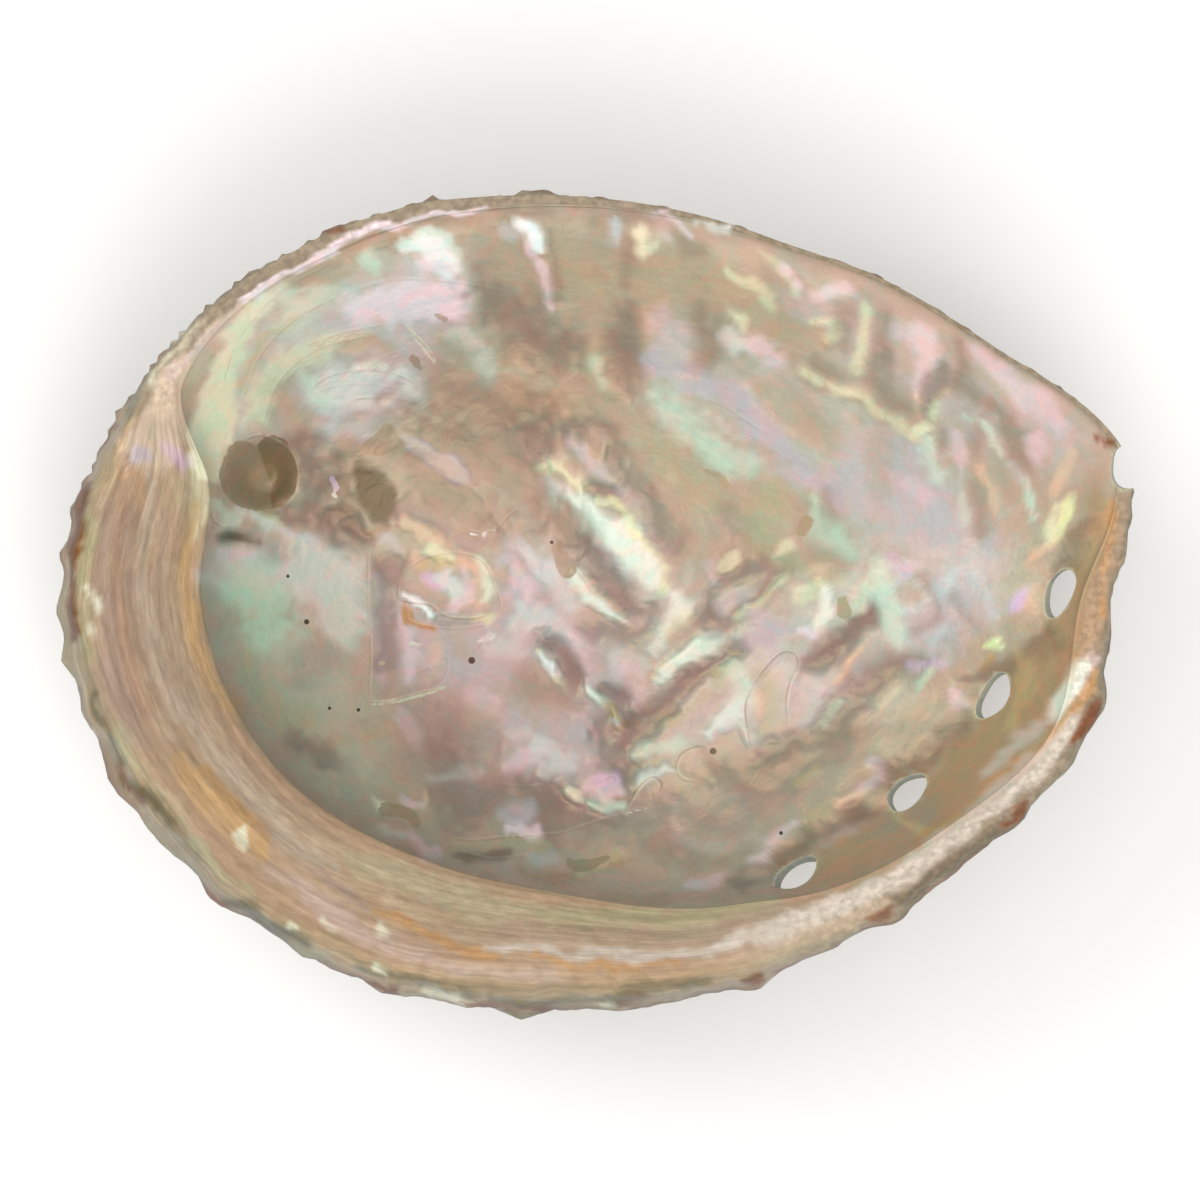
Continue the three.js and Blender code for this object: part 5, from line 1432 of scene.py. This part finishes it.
    @staticmethod
    def write(mesh: bpy.types.Mesh, name: str, values: np.ndarray) -> None:
        """Stores four columns of numbers as a named point attribute."""
        attribute = mesh.attributes.new(name, "FLOAT_COLOR", "POINT")
        attribute.data.foreach_set("color", values.astype(np.float32).ravel())

    def build(self) -> bpy.types.Object:
        """The finished shell.

        Returns:
            The shell's object, in place in the frame.
        """
        mesh, places, along = self.pierced()
        self.paint(mesh, places, along)
        moved = places.copy()
        moved[:, :2] += self.shift()
        mesh.vertices.foreach_set("co", (moved * MM).astype(np.float32).ravel())
        mesh.shade_smooth()
        mesh.set_sharp_from_angle(angle=math.radians(self.sharp_edge))
        mesh.name = "abalone_shell"
        shell = bpy.data.objects.new("abalone_shell", mesh)
        bpy.context.collection.objects.link(shell)
        return shell


def add_node(tree: bpy.types.NodeTree, kind: str, inputs: dict | None = None,
             **settings: object) -> bpy.types.Node:
    """Adds a node.

    Args:
        tree: The node tree.
        kind: The node's type.
        inputs: Values for its inputs, or the sockets that feed them, by name or number.
        settings: The node's own settings.

    Returns:
        The node.
    """
    node = tree.nodes.new(kind)
    for name, value in settings.items():
        setattr(node, name, value)
    for key, value in (inputs or {}).items():
        if isinstance(value, bpy.types.NodeSocket):
            tree.links.new(value, node.inputs[key])
        else:
            node.inputs[key].default_value = value
    return node


@dataclass(frozen=True)
class ShellFinish:
    """Mother of pearl, polished by the animal inside, under a chalky outer layer.

    Nacre is thin stacked tablets of aragonite. It gives the eye a satin surface whose colour
    turns from taupe to pink, mint and straw with the slope of each fold. The outer layer is
    dull, rough and brown, and the shelf between them is banded like polished horn.
    """

    warm: str = "F8F0F2"
    cool: str = "E6F6F8"
    aged: str = "E2E7E9"
    seam_dark: str = "7A6554"
    seam_highlight: str = "EDE8DA"
    hollow_brown_and_shade: str = "6B4E2C"
    speck: str = "2E2620"
    ior: float = 1.6
    coat: float = 0.15
    coat_roughness: float = 0.3
    film_thickness: float = 420.0
    film_ior: float = 1.45
    bump_strength: float = 0.5
    bump_distance: float = 0.2
    hole_wall: str = "AFA88C"
    rust: str = "8A5648"
    umber: str = "6E4F42"
    lichen: str = "8F9278"
    chalk: str = "C9C1AE"
    specks: tuple[tuple[float, float, float], ...] = (
        (-26.8, -2.3, 0.28), (-9.5, -6.4, 0.38), (16.0, -15.9, 0.36), (-21.4, -11.6, 0.2),
        (-28.7, 2.5, 0.18),
        (22.9, -24.2, 0.2), (-24.4, -11.4, 0.18), (-1.0, 6.1, 0.2),
    )

    def build(self, shift: np.ndarray) -> bpy.types.Material:
        """The material.

        Args:
            shift: From the middle of the bowl to the frame's origin, in mm.

        Returns:
            The material, ready for the shell.
        """
        material = bpy.data.materials.new("mother_of_pearl_and_chalk")
        material.use_nodes = True
        tree = material.node_tree
        tree.nodes.clear()

        def calc(operation: str, *values: object, clamp: bool = False) -> bpy.types.NodeSocket:
            """A sum on numbers."""
            sockets = dict(enumerate(values))
            return add_node(tree, "ShaderNodeMath", sockets, operation=operation, use_clamp=clamp).outputs[0]

        def vector(operation: str, *values: object) -> bpy.types.Node:
            """A sum on vectors."""
            return add_node(tree, "ShaderNodeVectorMath", dict(enumerate(values)), operation=operation)

        def mix(share: object, under: object, over: object, blend: str = "MIX") -> bpy.types.NodeSocket:
            """One colour laid over another by a share."""
            node = add_node(tree, "ShaderNodeMix", {0: share, 6: under, 7: over}, data_type="RGBA",
                            blend_type=blend)
            return node.outputs[2]

        def span(value: object, low: float, high: float,
                 start: float = 0.0, end: float = 1.0) -> bpy.types.NodeSocket:
            """A smooth step of a value."""
            return add_node(tree, "ShaderNodeMapRange", {0: value, 1: low, 2: high, 3: start, 4: end},
                            interpolation_type="SMOOTHSTEP").outputs[0]

        def attribute(name: str) -> tuple[bpy.types.NodeSocket, ...]:
            """The four columns of a point attribute."""
            node = add_node(tree, "ShaderNodeAttribute", attribute_name=name)
            parts = add_node(tree, "ShaderNodeSeparateColor", {0: node.outputs["Color"]})
            return (*parts.outputs[:3], node.outputs["Alpha"])

        place = add_node(tree, "ShaderNodeTexCoord").outputs["Object"]
        flow = add_node(tree, "ShaderNodeAttribute", attribute_name="flow").outputs["Vector"]

        def noise(cell: float, detail: float = 2.0, warp: float = 0.0,
                  where: object = None) -> bpy.types.NodeSocket:
            """Soft noise with cells in mm, or in the given vector's own unit."""
            scale = 1.0 / (cell * MM) if where is None else 1.0 / cell
            inputs = {"Vector": where or place, "Scale": scale, "Detail": detail, "Distortion": warp}
            return add_node(tree, "ShaderNodeTexNoise", inputs).outputs[0]

        def shade(value: object, low: float, high: float) -> bpy.types.NodeSocket:
            """A grey between two levels, from noise."""
            tone = span(value, 0.3, 0.7, low, high)
            return add_node(tree, "ShaderNodeCombineColor", {0: tone, 1: tone, 2: tone}).outputs[0]

        ledge, lip, on_back, fresh = attribute("regions")
        side, seam_weight, hollow, _ = attribute("seam")
        paint = add_node(tree, "ShaderNodeAttribute", attribute_name="paint").outputs["Color"]
        plate = add_node(tree, "ShaderNodeAttribute", attribute_name="plate")
        drift, fine = noise(2.2, 3.0, 0.4), noise(0.45, 3.0)
        lines = noise(0.55, 3.0, 0.3, flow)
        grains = noise(0.3, 3.0, 0.2, flow)

        # Nacre: the strokes, with a fine play of warm and cool, growth streaks and crisp flakes.
        ragged = calc("MULTIPLY", calc("SUBTRACT", noise(0.7, 2.0), 0.5), 0.5)
        crisp = span(calc("ADD", plate.outputs["Alpha"], ragged), -0.05, 0.07)
        pearl = mix(calc("MULTIPLY", crisp, 0.85), paint, plate.outputs["Color"])
        play = mix(span(noise(3.2, 2.0, 0.8), 0.38, 0.62), linear(self.warm), linear(self.cool))
        pearl = mix(1.0, pearl, play, "MULTIPLY")
        pearl = mix(1.0, pearl, shade(lines, 0.975, 1.025), "MULTIPLY")
        pearl = mix(1.0, pearl, shade(fine, 0.97, 1.03), "MULTIPLY")

        # Specks of dirt lie flat on the nacre.
        flat = vector("MULTIPLY", place, (1.0, 1.0, 0.0)).outputs[0]
        for x, y, size in self.specks:
            middle = ((x + shift[0]) * MM, (y + shift[1]) * MM, 0.0)
            away = vector("DISTANCE", flat, middle).outputs["Value"]
            pearl = mix(span(away, size * 1.15 * MM, size * 0.8 * MM), pearl, linear(self.speck))

        # Seams: a dark hairline, with a painted highlight along its raised side.
        broken = span(noise(2.5, 2.0), 0.35, 0.6, 0.35, 1.0)
        seam_shown = calc("MULTIPLY", seam_weight, broken)
        hair = calc("MULTIPLY", span(calc("ABSOLUTE", side), 0.17, 0.03), seam_shown)
        glint = calc("MULTIPLY", span(calc("ABSOLUTE", calc("SUBTRACT", side, 0.2)), 0.17, 0.03), seam_shown)
        pearl = mix(calc("MULTIPLY", glint, 0.22), pearl, linear(self.seam_highlight))
        pearl = mix(calc("MULTIPLY", hair, 0.5), pearl, linear(self.seam_dark))
        # Painted shade with the hollow's own brown: the floor darkens the deeper it drops into the spire.
        pearl = mix(calc("MULTIPLY", hollow, 0.1), pearl, linear(self.hollow_brown_and_shade))

        # The shelf: polished horn with many fine lines along the rim.
        long_flow = vector("MULTIPLY", flow, (0.2, 0.2, 1.0)).outputs[0]
        shelf = mix(1.0, paint, shade(noise(0.7, 3.0, 0.1, long_flow), 0.82, 1.16), "MULTIPLY")
        shelf = mix(1.0, shelf, shade(lines, 0.94, 1.06), "MULTIPLY")
        shelf = mix(1.0, shelf, shade(grains, 0.9, 1.1), "MULTIPLY")
        shelf = mix(1.0, shelf, linear(self.aged), "MULTIPLY")
        bare_lip = mix(1.0, paint, shade(noise(0.8, 4.0), 0.78, 1.2), "MULTIPLY")

        # The back: chalky brown with rust flames, lichen green and pale crust.
        rust, lichen, chalk, suture_darkening = attribute("back_tints")
        back = mix(rust, linear(self.umber), linear(self.rust))
        back = mix(calc("MULTIPLY", lichen, 0.8), back, linear(self.lichen))
        back = mix(calc("MULTIPLY", chalk, span(noise(1.4, 3.0), 0.4, 0.6)), back, linear(self.chalk))
        # Darker along the suture's groove.
        back = mix(calc("MULTIPLY", suture_darkening, 0.6), back, linear(self.seam_dark))
        mottle = shade(noise(0.8, 4.0), 0.78, 1.2)
        back = mix(1.0, back, mottle, "MULTIPLY")

        colour = mix(ledge, pearl, shelf)
        colour = mix(lip, colour, bare_lip)
        colour = mix(on_back, colour, back)
        colour = mix(fresh, colour, linear(self.hole_wall))

        crust = calc("MAXIMUM", on_back, lip, clamp=True)
        dull = calc("MULTIPLY_ADD", crust, 0.45, calc("MULTIPLY_ADD", ledge, 0.1, 0.32))
        rough = calc("MULTIPLY_ADD", calc("SUBTRACT", drift, 0.5), 0.16, dull, clamp=True)
        grit = calc("MULTIPLY", noise(0.5, 4.0), calc("MAXIMUM", crust, calc("MULTIPLY", ledge, 0.3)))
        ridge = calc("MULTIPLY_ADD", noise(1.6, 2.0, 0.6), 1.0, calc("MULTIPLY", lines, 0.25))
        height = calc("ADD", calc("MULTIPLY", grit, 1.6), ridge)
        bump = add_node(tree, "ShaderNodeBump", {
            "Strength": self.bump_strength, "Distance": self.bump_distance * MM, "Height": height})
        surface = add_node(tree, "ShaderNodeBsdfPrincipled", {
            "Base Color": colour, "Roughness": rough, "Normal": bump.outputs[0],
            "IOR": self.ior, "Coat Weight": self.coat, "Coat Roughness": self.coat_roughness,
            "Thin Film Thickness": self.film_thickness, "Thin Film IOR": self.film_ior,
        })
        add_node(tree, "ShaderNodeOutputMaterial", {"Surface": surface.outputs[0]})
        return material


@dataclass
class Studio:
    """The pale floor, the soft lights and the camera."""

    floor_colour: str = "F4F4F2"
    floor_size: float = 1.6
    lens: float = 180.0
    sensor: float = 36.0
    view_width: float = 122.2
    view_middle: tuple[float, float] = (4.1, 0.0)
    rim_height: float = 27.0
    room_colour: str = "FFFFFF"
    room_light: float = 0.6
    lights: tuple[tuple[str, tuple[float, float, float], float, float], ...] = (
        ("key", (0.12, -0.5, 0.62), 0.6, 3.0),
        ("fill", (-0.5, 0.3, 0.5), 0.45, 2.2),
        ("top", (0.08, 0.12, 1.1), 1.0, 2.6),
    )

    def floor(self) -> bpy.types.Object:
        """A flat pale floor under the shell.

        Returns:
            The floor.
        """
        half = self.floor_size / 2
        mesh = bpy.data.meshes.new("floor")
        corners = [(-half, -half, 0), (half, -half, 0), (half, half, 0), (-half, half, 0)]
        mesh.from_pydata(corners, [], [(0, 1, 2, 3)])
        material = bpy.data.materials.new("white_paper")
        material.use_nodes = True
        surface = material.node_tree.nodes["Principled BSDF"]
        surface.inputs["Base Color"].default_value = linear(self.floor_colour)
        surface.inputs["Roughness"].default_value = 0.9
        mesh.materials.append(material)
        floor = bpy.data.objects.new("floor", mesh)
        bpy.context.collection.objects.link(floor)
        return floor

    def light(self, name: str, place: tuple[float, float, float], size: float, power: float) -> None:
        """A square soft light that faces the shell.

        Args:
            name: The light's name.
            place: Its place in metres.
            size: Its side in metres.
            power: Its power in watts.
        """
        lamp = bpy.data.lights.new(name, "AREA")
        lamp.size, lamp.energy = size, power
        item = bpy.data.objects.new(name, lamp)
        item.location = place
        item.rotation_euler = Vector(place).to_track_quat("Z", "Y").to_euler()
        bpy.context.collection.objects.link(item)

    def camera(self, shift: np.ndarray) -> None:
        """A long lens straight above the bowl, with the outer lip at the top.

        Args:
            shift: From the middle of the bowl to the frame's origin, in mm.
        """
        lens = bpy.data.cameras.new("camera")
        lens.lens, lens.sensor_width = self.lens, self.sensor
        far = self.view_width * self.lens / self.sensor
        camera = bpy.data.objects.new("camera", lens)
        camera.location = ((self.view_middle[0] + shift[0]) * MM, (self.view_middle[1] + shift[1]) * MM,
                           (self.rim_height + far) * MM)
        bpy.context.collection.objects.link(camera)
        bpy.context.scene.camera = camera

    def build(self, shift: np.ndarray) -> None:
        """Sets up the whole studio.

        Args:
            shift: From the middle of the bowl to the frame's origin, in mm.
        """
        self.floor()
        for name, place, size, power in self.lights:
            self.light(name, place, size, power)
        world = bpy.data.worlds.new("room")
        world.use_nodes = True
        sky = world.node_tree.nodes["Background"]
        sky.inputs["Color"].default_value = linear(self.room_colour)
        sky.inputs["Strength"].default_value = self.room_light
        bpy.context.scene.world = world
        bpy.context.scene.view_settings.view_transform = "Standard"
        self.camera(shift)


def main() -> None:
    """Builds the shell and the studio, and logs the shell's points and faces."""
    logging.basicConfig(level=logging.INFO, format="%(name)s: %(message)s")
    rim, coil = Rim(), Coil()
    maker = Shell(rim, coil, BowlSurface(coil, rim), BackSurface(coil))
    shift = maker.shift()
    Studio().build(shift)
    shell = maker.build()
    shell.data.materials.append(ShellFinish().build(shift))
    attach(shell, "root")
    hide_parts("shell")
    LOG.info("%s: %d points, %d faces", shell.name, len(shell.data.vertices), len(shell.data.polygons))


if __name__ == "__main__":
    main()
